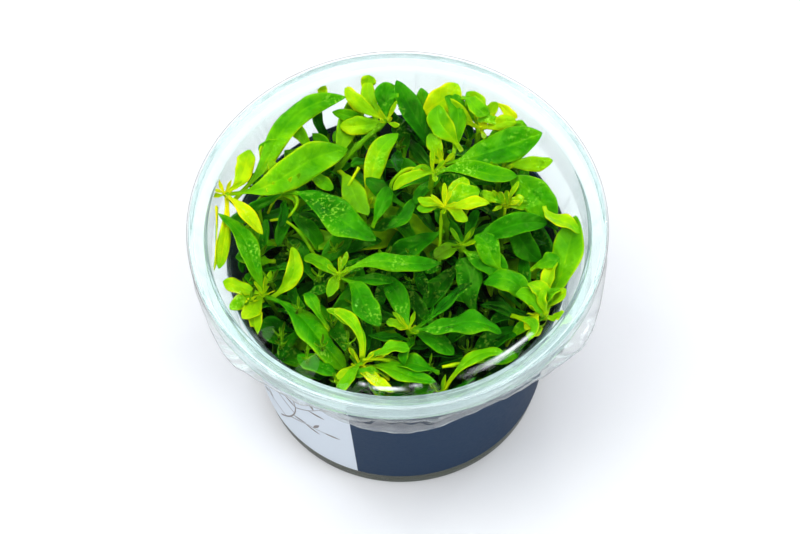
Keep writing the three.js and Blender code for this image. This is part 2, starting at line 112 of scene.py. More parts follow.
# Stem: its points from the gel up, its young leaves as (tip x, y, z, width, arch, sway), and their youth
SHOOTS = {
    "shoot_01": (((-22, 8), (-32, 10, 44), (-41.3, 11.5, 65)),
                 ((-35, 22.5, 67.5, 4.6, 0.5, -1.5), (-32.2, 2.8, 60, 3.4, 1, 0)), 0.76),
    "shoot_02": (((-13, 13), (-17.5, 21.5, 50), (-11.4, 26, 58.5), (-2, 33.6, 62)),
                 ((-12, 40, 67.6, 3.4, 0, 1), (-6.2, 42.8, 67.8, 3.4, 0, 0.5),
                  (-14, 33, 61, 4.4, 0.5, 1)), 0.64),
    "shoot_03": (((7, 15), (9.5, 20, 40), (11.5, 22.5, 59)), ((8.5, 29, 62.5, 3.6, 0.5, 0),), 0.6),
    "shoot_04": (((15, 21), (19, 28, 42), (21, 31, 61)),
                 ((30, 29.6, 65.5, 3.4, 0.8, 0), (25.4, 34.4, 67.4, 2.8, 0, 0),
                  (10.5, 36.4, 63.5, 5, 1.5, 0)), 0.6),
    "shoot_05": (((4, 9), (6.5, 12.5, 42), (9, 16, 65)), ((-1, 12.5, 62.5, 2.4, 2.5, 0),), 0.55),
    "shoot_06": (((9, 1), (12, 4, 46), (11.4, 6, 64.8)),
                 ((22.2, 6.4, 64.4, 2.8, 0.6, 0), (5, 7.8, 66, 2.2, 0.3, 0), (17, 3, 63, 2.6, 0.5, 0)), 0.66),
    "shoot_07": (((18, 7), (23, 8.5, 40), (26.2, 9.4, 60)),
                 ((20.8, 10.4, 63.5, 2.4, 0.4, 0), (30.6, 8.4, 62.4, 2.4, 0.4, 0)), 0.66),
    "shoot_08": (((20, 14), (23.5, 16.5, 42), (26, 18.8, 61)), ((38, 16.6, 67.4, 3.6, 0.6, 0),), 0.64),
    "shoot_09": (((24, -14), (29.5, -16.5, 36), (33, -18, 55)),
                 ((37.5, -6.4, 58.5, 3.2, 0.5, 0), (29.5, -24, 57, 3, 0.6, 0),
                  (39.5, -15.5, 61, 3, 0.4, 0)), 0.66),
    "shoot_10": (((13, -4), (15, -1, 40), (15.5, 0.5, 56.5)), ((8.5, -3, 56.5, 3.8, 0.8, 0),), 0.42),
    "shoot_11": (((3, -14), (3, -19, 38), (2, -22.4, 57)), ((-3.4, -21, 57.5, 2.4, 0.6, 0),), 0.5),
    "shoot_12": (((-7, -20), (-9, -26, 38), (-9.6, -30, 53.5)),
                 ((-15.8, -35, 54, 2.6, 0.8, 0), (-3.6, -27.6, 55, 2.6, 0.8, 0),
                  (-2.6, -40.6, 60.5, 2.8, -1, 0)), 0.64),
    "shoot_13": (((8, -26), (8.6, -33, 36), (9, -36, 49)), (), 0.45),
    "shoot_14": (((-22, -8), (-28, -10, 36), (-32.4, -11, 55)),
                 ((-41.6, -9.6, 59.5, 3.8, -0.5, 0), (-37, -19.6, 59.5, 4.2, -0.5, 0)), 0.66),
    "shoot_15": (((-11, -5), (-13, -6, 36), (-14.3, -7, 57)), ((-17, -13.5, 57, 2.6, 0.6, 0),), 0.5),
    "shoot_16": (((-19, 14.5), (-24, 15.5, 40), (-27.6, 15, 60.5)), ((-30.6, 21.5, 64, 2.8, 0.3, 0),), 0.5),
    "shoot_17": (((-4, 5), (-7, 9.5, 38), (-8.6, 12.4, 55.5)), ((-2.4, 17, 58, 3.4, 0.6, 0),), 0.5),
}

# Large leaf: shoot, share of the stem's height, tip, width, arch, sway, roll, then youth (0 dark, 1 yellow)
LEAVES = (
    ("shoot_01", 0.99, (-11.6, 26.4, 60.5), 8.6, 1.5, -1.5, -12, 0.5),
    ("shoot_01", 0.96, (-12.8, 39.4, 65), 6.2, 0, 4.5, 20, 0.55),
    ("shoot_16", 0.98, (-4.8, 0.6, 61), 8.8, 1.5, 0, 8, 0.32),
    ("shoot_14", 0.98, (-12, -29.2, 51), 8.8, 2, 0.5, 10, 0.35),
    ("shoot_11", 0.98, (24.4, -23.4, 58), 7, 2, 0, 6, 0.3),
    ("shoot_03", 0.99, (35.8, 26.6, 66.6), 9, 0.6, -1, 14, 0.5),
    ("shoot_08", 0.97, (37.6, 3.4, 62), 8, 1.6, 0.5, 0, 0.44),
    ("shoot_05", 0.98, (29.6, 15.4, 63.6), 4.8, 1.2, 0.4, 10, 0.46),
    ("shoot_09", 0.95, (41, 1.4, 66.4), 8.4, -0.6, -2.4, 0, 0.54),
    ("shoot_15", 0.98, (10, -6, 58), 5.2, 4, 0, 4, 0.36),
    ("shoot_15", 0.96, (-4.8, -21.4, 56), 6.2, 1.6, 0.4, 0, 0.42),
    ("shoot_03", 0.96, (0.6, 42.2, 66.4), 5.6, 0.6, 0, -16, 0.26),
    ("shoot_14", 0.96, (-41.6, 6.4, 65.4), 5.4, -1, -1.4, 0, 0.5),
    ("shoot_10", 0.98, (36, 3.2, 60), 5.6, 1.6, 1, -8, 0.3),
    ("shoot_17", 0.97, (1, 28.4, 63.6), 5.4, 0.6, 2, 0, 0.58),
    ("shoot_02", 0.99, (0.2, 41, 67), 6, 0.6, 1, 0, 0.44),
    ("shoot_04", 0.97, (18, 38.6, 66), 5.4, 0.6, -1, 0, 0.5),
    ("shoot_03", 0.93, (6.8, 41, 67), 5.6, 0.4, 0, 20, 0.42),
    ("shoot_06", 0.94, (20.4, 10.4, 65), 5.6, 1.2, 0.8, 0, 0.62),
    ("shoot_10", 0.95, (25.8, -8, 54), 6, 1.4, 0, 0, 0.36),
    ("shoot_09", 0.98, (20, -10.4, 57), 6, 1.6, -3, 0, 0.36),
    ("shoot_11", 0.94, (12.2, -28.6, 54), 4.6, 1.2, 0.6, 0, 0.28),
    ("shoot_11", 0.95, (-4.4, -6.4, 55), 5, 0.8, -1, 14, 0.34),
    ("shoot_12", 0.95, (8, -35.8, 54.6), 4.8, 1.4, 0, 0, 0.4),
    ("shoot_13", 0.98, (24.6, -29.6, 58), 3.6, 3, 2, 0, 0.52),
    ("shoot_12", 0.98, (-17.6, -15.4, 55.4), 2.8, 3, -3, 0, 0.62),
    ("shoot_14", 0.93, (-25.8, -1.2, 60), 4, 0, -3.4, 0, 0.64),
    ("shoot_15", 0.92, (-23, 1.6, 53), 3.8, 1, 0, 0, 0.4),
    ("shoot_01", 0.98, (-43, -6, 59), 3.4, 0, 0.6, 0, 0.78),
    ("shoot_17", 0.88, (-18.6, -0.6, 51.4), 5, 1.4, 0, 0, 0.3),
    ("shoot_16", 0.84, (-19, 3.4, 50), 4.2, 1, 0, 0, 0.34),
    ("shoot_12", 0.8, (-21.6, -8.4, 48), 4.8, 1, 0, 0, 0.3),
    ("shoot_12", 0.72, (-25, -25.6, 46), 6.4, 1.6, 0, 0, 0.18),
    ("shoot_09", 0.8, (17.6, -24.6, 48), 5.6, 1.6, 0, 0, 0.2),
    ("shoot_07", 0.84, (34.4, -3.4, 53), 6, 1.2, 0, 0, 0.3),
    ("shoot_10", 0.8, (6.4, -11.8, 47), 5.4, 1.4, 0, 0, 0.18),
    ("shoot_06", 0.76, (-3.6, -1, 49), 5.4, 1.4, 0, 0, 0.2),
    ("shoot_02", 0.66, (-27.6, 27, 56), 5, 1.2, 0, 0, 0.4),
    ("shoot_04", 0.8, (33, 20, 54.6), 6, 1.2, 0, 0, 0.42),
)

# Small leaves seen singly: base, tip, width, arch, sway, roll, youth
SMALL_LEAVES = (
    ((-17.4, 38.6, 63), (-17.7, 42.2, 67), 2.4, 0, 0, 0, 0.66),
    ((-8.1, 34.9, 61), (-11.5, 41.0, 66.5), 3.0, 0.3, 0, 10, 0.7),
    ((-6.9, 40.4, 63), (-6.0, 43.6, 67.5), 3.8, 0.4, 0, 0, 0.7),
    ((-2.1, 34.8, 60), (-15.4, 35.9, 63), 3.2, -0.6, 0.6, 14, 0.56),
    ((-32.0, 21.9, 59), (-31.5, 27.2, 63), 2.0, 1.2, 0.8, 0, 0.74),
    ((-22.5, 21.4, 57), (-15.6, 16.4, 58), 3.2, 0.8, 0.2, 0, 0.48),
    ((-6.2, 5.5, 57), (-2.0, 14.9, 61), 3.8, 0.9, -0.4, 0, 0.28),
    ((1.4, 36.6, 62), (3.1, 40.4, 66), 3.0, 0.3, 0, 0, 0.5),
    ((5.4, 33.9, 61.5), (16.0, 40.4, 67), 7.2, 0.6, -0.8, -18, 0.72),
    ((16.4, 24.9, 60), (10.9, 35.6, 65.5), 6.0, 0.8, 1.6, 16, 0.68),
    ((13.9, 23.3, 58), (12.5, 40.0, 66), 4.6, 1.6, -2.6, -20, 0.46),
    ((16.6, 37.6, 65.5), (23.4, 32.9, 64.5), 4.2, 1.2, -0.6, 24, 0.56),
    ((25.0, 35.1, 65.6), (30.2, 31.1, 65), 2.4, 0.2, 0, 0, 0.68),
    ((28.9, 30.6, 63), (20.1, 31.8, 63.8), 2.4, 0.8, 0, 0, 0.5),
    ((0.4, 18.5, 57), (8.8, 17.9, 62), 1.0, 3.4, 0, 0, 0.55),
    ((11.4, 7.4, 63), (22.2, 7.9, 62.4), 2.2, 1.2, 0.5, 0, 0.66),
    ((11.2, 7.8, 63), (16.4, 14.2, 64.8), 4.6, 0.8, -0.8, 0, 0.6),
    ((10.8, 7.4, 63), (4.6, 6.0, 64.6), 2.6, 0.8, 0.3, 0, 0.6),
    ((34.2, -19.9, 55), (30.4, -12.6, 60), 4.2, 1.6, -2.2, -20, 0.56),
    ((34.6, -19.9, 55), (38.6, -14.2, 60), 3.6, 1.6, 1.8, 20, 0.58),
    ((34.4, -20.5, 55), (27.6, -15.2, 58.6), 4.0, 1.2, -1.4, 0, 0.5),
    ((34.6, -20.9, 54.6), (29.4, -25.3, 57), 2.8, 0.8, 0.6, 0, 0.74),
    ((35.0, -20.9, 55), (38.6, -22.0, 59.6), 2.6, 0.6, 0.4, 0, 0.62),
    ((34.8, -19.5, 55.6), (34.6, -15.2, 60.6), 2.8, 0.9, 1.2, 0, 0.68),
    ((-31.7, 11.6, 55), (-23.7, 11.7, 58), 1.1, 2.6, 2.8, 0, 0.6),
    ((-33.0, -10.4, 54), (-40.2, -16.4, 57.6), 3.4, 0.6, -0.8, 0, 0.62),
    ((-32.6, -11.5, 53), (-33.6, -22.4, 56), 3.6, 1.6, -1.6, 0, 0.56),
    ((-13.9, -7.5, 56), (-12.9, -4.6, 58.4), 1.2, 0.4, 0.6, 0, 0.62),
    ((-10.3, -30.7, 53), (-2.1, -40.6, 59), 2.8, 1.6, -0.6, 0, 0.76),
    ((-9.3, -29.7, 54), (-15.9, -38.4, 57), 2.8, 1.6, 0.8, 0, 0.54),
    ((-9.3, -28.6, 54), (-16.2, -15.9, 57), 3.0, 2.2, -2.0, 0, 0.66),
    ((-9.3, -29.2, 54), (2.1, -28.4, 57), 3.4, 1.4, 0.6, 0, 0.46),
    ((-2.8, -33.1, 52), (-11.6, -33.3, 56), 2.8, 1.0, -0.6, 0, 0.44),
    ((9.0, -31.9, 52), (-1.5, -29.9, 54), 5.2, 1.4, 0, 0, 0.4),
    ((25.6, -7.1, 54), (18.6, 1.6, 58.6), 6.0, 1.6, 0, 0, 0.38),
    ((31.6, -6.5, 55), (38.5, -7.4, 60), 4.4, 1.0, 0.6, 0, 0.44),
    ((35.4, 6.0, 64), (43.6, -2.4, 66), 4.0, 0.8, -1.4, 30, 0.66),
    ((19.2, -17.1, 49), (15.0, -2.1, 54), 6.4, 1.2, 0, 0, 0.2),
    ((-16.8, -19.7, 52), (-22.2, -11.2, 57), 3.2, 2.0, 0.6, 0, 0.42),
    ((-27.1, 28.6, 62), (-33.7, 25.2, 63), 3.0, 0.6, 0.4, 0, 0.6),
    ((-43.2, 8.9, 63.4), (-42.8, -8.6, 61), 2.4, 0.2, -0.4, 60, 0.76),
    ((26.1, 8.4, 60), (24.9, 9.9, 65), 1.3, 0, 0, 0, 0.68),
    ((26.5, 8.4, 60), (26.8, 10.2, 65), 1.3, 0, 0, 0, 0.68),
    ((26.5, 8.8, 60), (32.0, 7.6, 61.6), 2.4, 0.5, 0, 0, 0.68),
    ((26.5, 8.8, 60), (20.1, 11.0, 63), 2.6, 0.7, 0, 0, 0.64),
    ((-12.6, -33.6, 52), (-24.4, -27.2, 55), 5.0, 1.0, 0.6, 0, 0.3),
    ((2.0, 12.0, 56), (-7.4, 18.6, 59), 4.0, 1.2, 0.6, 0, 0.3),
    ((-20.0, 27.6, 58), (-27.2, 33.4, 62), 3.4, 0.8, -0.4, 0, 0.46),
    ((-13.5, 25.6, 57), (-22.4, 27.0, 60), 4.2, 0.8, 0.6, 0, 0.42),
    ((21.6, 25.8, 59), (33.0, 30.6, 63.6), 4.4, 1.2, 0.8, 0, 0.44),
    ((-19.0, -23.0, 41), (-30.2, -24.2, 50), 5.2, 1.4, 0.8, 0, 0.22),
    ((-20.0, 24.0, 50), (-27.5, 29.0, 57), 4.6, 0.8, 0.6, 0, 0.52),
    ((-16.0, 25.0, 51), (-20.5, 33.2, 58), 4.0, 0.6, -0.5, 14, 0.56),
    ((-8.0, 27.0, 51), (-15.0, 34.8, 57), 4.4, 0.8, 0.6, 0, 0.48),
    ((-4.0, 28.0, 52), (-8.0, 36.2, 58), 3.8, 0.6, 0.4, 0, 0.4),
    ((-26.0, 20.0, 50), (-33.0, 22.0, 57), 4.2, 0.8, -0.6, 0, 0.5),
    ((2.0, 29.0, 52), (1.0, 37.0, 58), 4.0, 0.6, -0.4, 0, 0.32),
    ((-25.0, -19.0, 44), (-33.2, -21.0, 52), 4.6, 1.0, -0.6, 0, 0.26),
    ((-30.0, 1.0, 50), (-39.2, -1.4, 57), 4.6, 1.0, 0.4, 0, 0.46),
    ((-30.0, -5.0, 48), (-37.4, -6.6, 55), 4.8, 1.0, -0.4, 0, 0.36),
    ((-29.0, 6.0, 50), (-38.6, 4.6, 58), 3.6, 0.8, 0.6, 0, 0.44),
    ((-15.0, -28.0, 42), (-25.0, -30.0, 50), 5.0, 1.2, -0.6, 0, 0.26),
    ((-24.0, -15.0, 43), (-34.2, -18.0, 51), 5.0, 1.4, 0.6, 0, 0.2),
    ((-8.0, -31.0, 42), (-17.0, -35.6, 50), 4.6, 1.0, 0.5, 0, 0.24),
    ((-27.0, -7.0, 46), (-36.6, -13.4, 53), 4.4, 1.0, -0.5, 0, 0.3),
    ((17.0, -28.0, 43), (27.4, -27.6, 52), 4.8, 1.4, 0.8, 0, 0.34),
    ((11.0, -32.0, 44), (3.0, -38.0, 52), 4.4, 1.2, -0.6, 0, 0.3),
    ((16.0, -31.0, 43), (17.6, -36.6, 53), 3.8, 1.0, 0.6, 0, 0.44),
    ((25.0, -22.0, 46), (34.6, -19.0, 56), 3.8, 1.2, 0.6, 0, 0.5),
    ((26.4, -17.6, 53), (29.6, -28.4, 60), 2.4, 2.6, 2.4, 0, 0.66),
)

# Fine leaf surface
BLADE_THICKNESS = 0.2
RIB_THICKNESS = 0.5
RIB_HALF_WIDTH = 0.55
RIB_GROOVE = 0.22
FOOT_THICKNESS = 0.3
VEIN_SPACING = 2.3
VEIN_SLANT = 1.5
VEIN_RELIEF = 0.16
EDGE_CURL = 0.16
EDGE_WOBBLE = 0.04
FINE_STALK = 0.5
TIP_CROWDING = 0.12
FOOT_PALER = 0.42
# Painted light on leaf margins: paler edges standing for light shining through the thin blade and catching
# its rim
EDGE_PAINTED_LIGHT = (0.1, 0.14)

# Room that the fine leaves keep to the cup's wall and to the film above them
WALL_ROOM = 0.25
FILM_ROOM = 0.35
FILM_SQUEEZE = 1.2

# How much steps and lengths vary, as shares
VARIES = (0.8, 1.2)

# Young pairs at the top of a stem; the twist is in half turns and the swing in radians
BUD_PAIRS = 3
BUD_LENGTH = 4.4
BUD_SHRINK = 0.72
BUD_WIDTH = 1.25
BUD_RISE = 0.75
BUD_RISE_GAIN = 0.5
BUD_TWIST = 0.25
BUD_ARCH = -0.4
BUD_SWING = 0.3
BUD_YOUNGER = 0.05
BUD_YOUNGEST = 0.9

# Shorter shoots between the main ones
EXTRA_ROWS = 8
EXTRA_SPACING = 6.6
EXTRA_ROW_PITCH = 0.87
EXTRA_REACH = 38.5
EXTRA_CLEARANCE = 4.0
EXTRA_NUDGE = 1.2
EXTRA_LEAN = 3.0
EXTRA_FOOT_REACH = 0.85
EXTRA_TOP_REACH = 1.05
EXTRA_BEND_HEIGHT = 0.55
EXTRA_TOPS = (38, 54)
MAIN_SPREAD = 1.2
# They grow taller beyond this radius, where they stand behind one line or left of another
WALL_SIDE_TOPS = (50, 58)
WALL_SIDE_RADIUS = 25
WALL_SIDE_FRONT = -5
WALL_SIDE_RIGHT = -12
SHORT_STEM_SIZE = 0.8
SHORT_BUD_SIZE = 0.55

# Leaves that fill the clump, set out in pairs up every stem; turns are in radians
LOWER_STEP = 5.2
LOWER_START = 14.0
LOWER_TURN = 0.2
FILL_SLIMNESS = 0.22
FILL_GAP = 1.0
FILL_WALL_GAP = 0.6
FILL_CEILING = 62.0
FILL_LENGTHS = (13, 22)
FILL_TRIES = 7
FILL_SHORTER = 0.07
FILL_SPREAD = 0.25
FILL_SPREAD_GAIN = 0.22
FILL_ROLL = 0.5
FILL_PITCH = 0.95
FILL_ARCH = 0.1
# Their tone, darker the deeper they stand: painted shade inside the clump
FILL_DARK = -0.14
FILL_PALER = 0.41
FILL_DARKEST = 0.02
FILL_TONE_VARIES = (-0.06, 0.08)
FILL_DARK_LEVEL = 22.0
FILL_PALE_RISE = 40.0
FINE_FILL_LEVEL = 46.0
# The leaves that the lower ones are copies of
PATTERNS = 3
PATTERN_LENGTH = 12.0
PATTERN_BEND = 0.9
PATTERN_BEND_STEP = 0.5
PATTERN_ARCH = 0.6
# The large leaves lie open to the sky on their front side: no filling leaf grows there
OPEN_ABOVE = (3.0, 5.5, 8.0)
OPEN_DIRECTION = (0.0, -0.45, 0.9)
OPEN_WIDTH = 0.8


def wall_radius(z):
    return BASE_RADIUS + WALL_FLARE * z


def inner_radius(z):
    if z < LEDGE_LOW + LEDGE_RISE:
        return wall_radius(min(z, LEDGE_LOW)) - WALL
    return MOUTH_FOOT_RADIUS


# Node trees

class Tree:
    """A node tree, with short words for the nodes that this script uses."""

    def __init__(self, tree):
        self.nodes, self.links = tree.nodes, tree.links

    def feed(self, socket, value):
        """Gives a socket a number, a colour or another node's output."""
        if isinstance(value, bpy.types.NodeSocket):
            self.links.new(value, socket)
        else:
            socket.default_value = (*value, 1.0) if isinstance(value, tuple) else value

    def set_up(self, made, **settings):
        """Fills in a node's settings; sockets are named with spaces written as underscores."""
        for key, value in settings.items():
            if hasattr(made, key):
                setattr(made, key, value)
            else:
                self.feed(made.inputs[key.replace("_", " ")], value)
        return made

    def node(self, kind, **settings):
        return self.set_up(self.nodes.new(kind), **settings)

    def use(self, group, **values):
        return self.node("ShaderNodeGroup", node_tree=group, **values).outputs

    def maths(self, operation, first, second=0.0):
        made = self.node("ShaderNodeMath", operation=operation)
        self.feed(made.inputs[0], first)
        self.feed(made.inputs[1], second)
        return made.outputs[0]

    def plus(self, first, second):
        return self.maths("ADD", first, second)

    def minus(self, first, second):
        return self.maths("SUBTRACT", first, second)

    def times(self, first, second):
        return self.maths("MULTIPLY", first, second)

    def ramp(self, factor, stops):
        """A colour ramp through stops of (place, colour), where a lone number is a grey."""
        made = self.node("ShaderNodeValToRGB")
        elements = made.color_ramp.elements
        while len(elements) < len(stops):
            elements.new(0.5)
        for element, (place, colour) in zip(elements, stops):
            element.position = place
            element.color = (*(colour if isinstance(colour, tuple) else 3 * (colour,)), 1.0)
        self.feed(made.inputs[0], factor)
        return made.outputs[0]

    def mix(self, factor, first, second):
        made = self.node("ShaderNodeMix", data_type="RGBA")
        for index, value in ((0, factor), (6, first), (7, second)):
            self.feed(made.inputs[index], value)
        return made.outputs[2]

    def blend(self, factor, first, second):
        """A mix of two shaders."""
        made = self.node("ShaderNodeMixShader")
        for index, value in enumerate((factor, first.outputs[0], second.outputs[0])):
            self.feed(made.inputs[index], value)
        return made

    def bump(self, height, strength, distance):
        made = self.node("ShaderNodeBump", Height=height, Strength=strength, Distance=distance)
        return made.outputs["Normal"]

    def noise(self, scale, detail=3.0, roughness=0.5):
        place = self.node("ShaderNodeTexCoord").outputs["Object"]
        return self.node("ShaderNodeTexNoise", Vector=place, Scale=scale, Detail=detail,
                         Roughness=roughness).outputs["Fac"]

    def attribute(self, name):
        return self.node("ShaderNodeAttribute", attribute_name=name).outputs["Fac"]


def new_material(name):
    material = bpy.data.materials.new(name)
    material.use_nodes = True
    tree = Tree(material.node_tree)
    return material, tree, tree.nodes["Principled BSDF"]


def new_group(name, inputs, results):
    """A shader group of number inputs, with their usual values, and the names of its number outputs."""
    group = bpy.data.node_groups.new(name, "ShaderNodeTree")
    for label, value in inputs.items():
        socket = group.interface.new_socket(label, in_out="INPUT", socket_type="NodeSocketFloat")
        socket.default_value = value
    for label in results:
        group.interface.new_socket(label, in_out="OUTPUT", socket_type="NodeSocketFloat")
    tree = Tree(group)
    return group, tree, tree.node("NodeGroupInput").outputs, tree.node("NodeGroupOutput")


# Patterns that several finishes share; scales are in cycles per metre

MOTTLE_SCALE = 230.0
PATCH_SCALE = 105.0
BEAD_SCALE = 750.0
DOT_SCALE = 1350.0
BROAD_SCALE = 75.0
DULL_SCALE = 500.0
HAZE_SCALE = 140.0
PRINT_SCALE = 900.0
CLOUD_SCALE = 70.0
SPECK_SCALE = 700.0
FLOOR_SCALE = 120.0


def make_blade_marks():
    """Midrib and side veins, from a blade's own coordinates: across from 0 to 1, along in vein spacings."""
    group, tree, given, put = new_group("blade marks", {"Vein strength": 0.4, "Midrib strength": 0.8},
                                        ("Lines",))
    place = tree.node("ShaderNodeSeparateXYZ", Vector=tree.node("ShaderNodeUVMap", uv_map="blade").outputs[0])
    across = tree.maths("ABSOLUTE", tree.minus(place.outputs[0], 0.5))
    phase = tree.minus(place.outputs[1], tree.times(across, VEIN_SLANT * 2))
    wave = tree.maths("ABSOLUTE", tree.maths("SINE", tree.times(phase, math.pi)))
    vein = tree.ramp(wave, ((0.0, 1), (0.14, 0.3), (0.32, 0)))
    rib = tree.ramp(across, ((0.0, 1), (0.025, 0.55), (0.06, 0)))
    lines = tree.maths("MAXIMUM", tree.times(vein, given["Vein strength"]),
                       tree.times(rib, given["Midrib strength"]))
    tree.set_up(put, Lines=lines)
    return group


def make_wet_skin():
    """Mottling of the tissue, patches of clinging water with clusters of painted glint dots on them, and the
    relief of both.
    """
    group, tree, given, put = new_group("wet skin", {"Wet amount": 0.5, "Bead height": 1.0},
                                        ("Mottle", "Wet", "Flecks", "Relief"))
    mottle = tree.noise(MOTTLE_SCALE, 4.0, 0.6)
    level = tree.plus(tree.noise(PATCH_SCALE, 3.0, 0.55), tree.minus(given["Wet amount"], 0.5))
    wet = tree.ramp(level, ((0.5, 0), (0.6, 1)))
    raised = tree.times(tree.noise(BEAD_SCALE, 1.0), tree.times(wet, given["Bead height"]))
    # Clusters of dots on the wet patches, where a highlight is painted into the colour
    cluster = tree.ramp(level, ((0.56, 0), (0.68, 0.6)))
    dots = tree.ramp(tree.noise(DOT_SCALE, 1.5), ((0.53, 0), (0.66, 1)))
    tree.set_up(put, Mottle=mottle, Wet=wet, Flecks=tree.times(cluster, dots),
                Relief=tree.plus(raised, tree.times(mottle, 0.5)))
    return group


def make_fine_grain():
    """Small even grain, for print, gel and floor."""
    group, tree, given, put = new_group("fine grain", {"Grain scale": PRINT_SCALE}, ("Grain",))
    tree.set_up(put, Grain=tree.noise(given["Grain scale"], 5.0, 0.65))
    return group


blade_marks = make_blade_marks()
wet_skin = make_wet_skin()
fine_grain = make_fine_grain()


# Finishes

# Heights of the reliefs, in metres
SKIN_DEPTH = 0.0004
PRINT_DEPTH = 0.0002
GEL_DEPTH = 0.001
# How far mottling, broad patches and veins change the tone of a leaf, and veins its relief
MOTTLE_TONE = 0.42
BROAD_TONE = 0.5
LINE_TONE = 0.1
LINE_RELIEF = 0.2
# How much small grain roughens tissue, and how much water smooths it
DULL_ROUGHNESS = 0.12
WET_SHINE = 0.12
# Pale yellow-green of the painted glint dots on wet leaves
PAINTED_GLINT_COLOUR = (0.36, 0.7, 0.05)
TISSUE_SHEEN = (0.36, 1.0, 0.06)
CUP_VEIL = (0.7, 0.87, 0.87)
# The film's white veil: its haze, and the colour of its painted highlights
FILM_VEIL = (0.9, 0.95, 0.96)
MURKY = (0.055, 0.065, 0.042)
GEL_DARK = (0.035, 0.042, 0.026)
GEL_PALE = (0.085, 0.095, 0.06)
GEL_SPECK = (0.02, 0.02, 0.012)
# Leaf colours by tone: the darkest stops are painted shade for leaves deep in the clump, the palest are young
# yellow leaves
LEAF_TONES = (
    (0.0, (0.0006, 0.015, 0.0004)),
    (0.2, (0.004, 0.08, 0.0004)),
    (0.4, (0.02, 0.2, 0.0005)),
    (0.6, (0.105, 0.37, 0.0008)),
    (0.78, (0.32, 0.52, 0.001)),
    (0.95, (0.68, 0.64, 0.002)),
)
STEM_TONES = (
    (0.0, (0.006, 0.02, 0.001)),
    (0.25, (0.034, 0.08, 0.0015)),
    (0.45, (0.08, 0.27, 0.001)),
    (0.62, (0.18, 0.42, 0.001)),
    (0.8, (0.4, 0.56, 0.001)),
    (0.95, (0.68, 0.64, 0.002)),
)


def tissue_material(name, stops, roughness, wet_amount, midrib):
    """Plant tissue: colour by youth, painted shade and mottling, paler veins and midrib, painted glint dots
    on wet patches, and a wet skin.
    """
    material, tree, shader = new_material(name)
    youth = tree.attribute("youth")
    skin = tree.use(wet_skin, Wet_amount=wet_amount)
    lines = tree.use(blade_marks, Midrib_strength=midrib)["Lines"]
    mottled = tree.times(tree.minus(skin["Mottle"], 0.5), MOTTLE_TONE)
    broad = tree.times(tree.minus(tree.noise(BROAD_SCALE, 2.0), 0.5), BROAD_TONE)
    tone = tree.plus(tree.plus(youth, tree.plus(mottled, broad)), tree.times(lines, LINE_TONE))
    # Painted highlight: glint dots mixed into the base colour
    painted_glints = tree.times(skin["Flecks"], tree.plus(youth, 0.25))
    dull = tree.plus(tree.times(tree.noise(DULL_SCALE, 2.0), DULL_ROUGHNESS), roughness)
    relief = tree.minus(skin["Relief"], tree.times(lines, LINE_RELIEF))
    tree.set_up(shader, Base_Color=tree.mix(painted_glints, tree.ramp(tone, stops), PAINTED_GLINT_COLOUR),
                Roughness=tree.minus(dull, tree.times(skin["Wet"], WET_SHINE)),
                Normal=tree.bump(relief, 0.8, SKIN_DEPTH), IOR=1.4, Specular_IOR_Level=0.6,
                Specular_Tint=TISSUE_SHEEN)
    return material


def clear_material(name, tint, veil, roughness, ior, ripple, ripple_scale, shadow_tint):
    """Clear plastic, veiled where its point value says: white, or the gel's colour where it is murky; on the
    film the white veil is both haze and painted highlights.
    """
    material, tree, shader = new_material(name)
    haze = tree.noise(HAZE_SCALE)
    tree.set_up(shader, Base_Color=tint, Transmission_Weight=1.0, IOR=ior,
                Roughness=tree.times(haze, roughness),
                Normal=tree.bump(tree.noise(ripple_scale, 2.0), ripple, SKIN_DEPTH))
    white = tree.node("ShaderNodeBsdfPrincipled", Roughness=0.25,
                      Base_Color=tree.mix(tree.attribute("murky"), veil, MURKY))
    amount = tree.times(tree.attribute("milky"), tree.plus(haze, 0.5))
    through = tree.node("ShaderNodeBsdfTransparent", Color=shadow_tint)
    shadow_ray = tree.node("ShaderNodeLightPath").outputs["Is Shadow Ray"]
    surface = tree.blend(shadow_ray, tree.blend(amount, shader, white), through)
    tree.set_up(tree.nodes["Material Output"], Surface=surface.outputs[0])
    return material


def tint_through(material, colour, density):
    """Colours what is seen through the thick parts of a clear material."""
    tree = Tree(material.node_tree)
    depth = tree.node("ShaderNodeVolumeAbsorption", Color=colour, Density=density)
    tree.set_up(tree.nodes["Material Output"], Volume=depth.outputs[0])


def print_material(name, colour, fleck, roughness):
    """Printed paper under a thin varnish."""
    material, tree, shader = new_material(name)
    grain = tree.use(fine_grain, Grain_scale=PRINT_SCALE)["Grain"]
    tree.set_up(shader, Base_Color=tree.mix(tree.times(grain, 0.5), colour, fleck),
                Roughness=tree.plus(tree.times(grain, 0.2), roughness),
                Normal=tree.bump(grain, 0.12, PRINT_DEPTH), Specular_IOR_Level=0.06)
    return material


def gel_material():
    """Nutrient gel: cloudy olive jelly with darker specks."""
    material, tree, shader = new_material("nutrient gel")
    cloud = tree.noise(CLOUD_SCALE, 4.0)
    speck = tree.ramp(tree.use(fine_grain, Grain_scale=SPECK_SCALE)["Grain"], ((0.6, 0), (0.72, 1)))
    tree.set_up(shader, Base_Color=tree.mix(speck, tree.mix(cloud, GEL_DARK, GEL_PALE), GEL_SPECK),
                Roughness=tree.plus(tree.times(cloud, 0.2), 0.08),
                Normal=tree.bump(cloud, 0.4, GEL_DEPTH), Specular_IOR_Level=0.15)
    return material


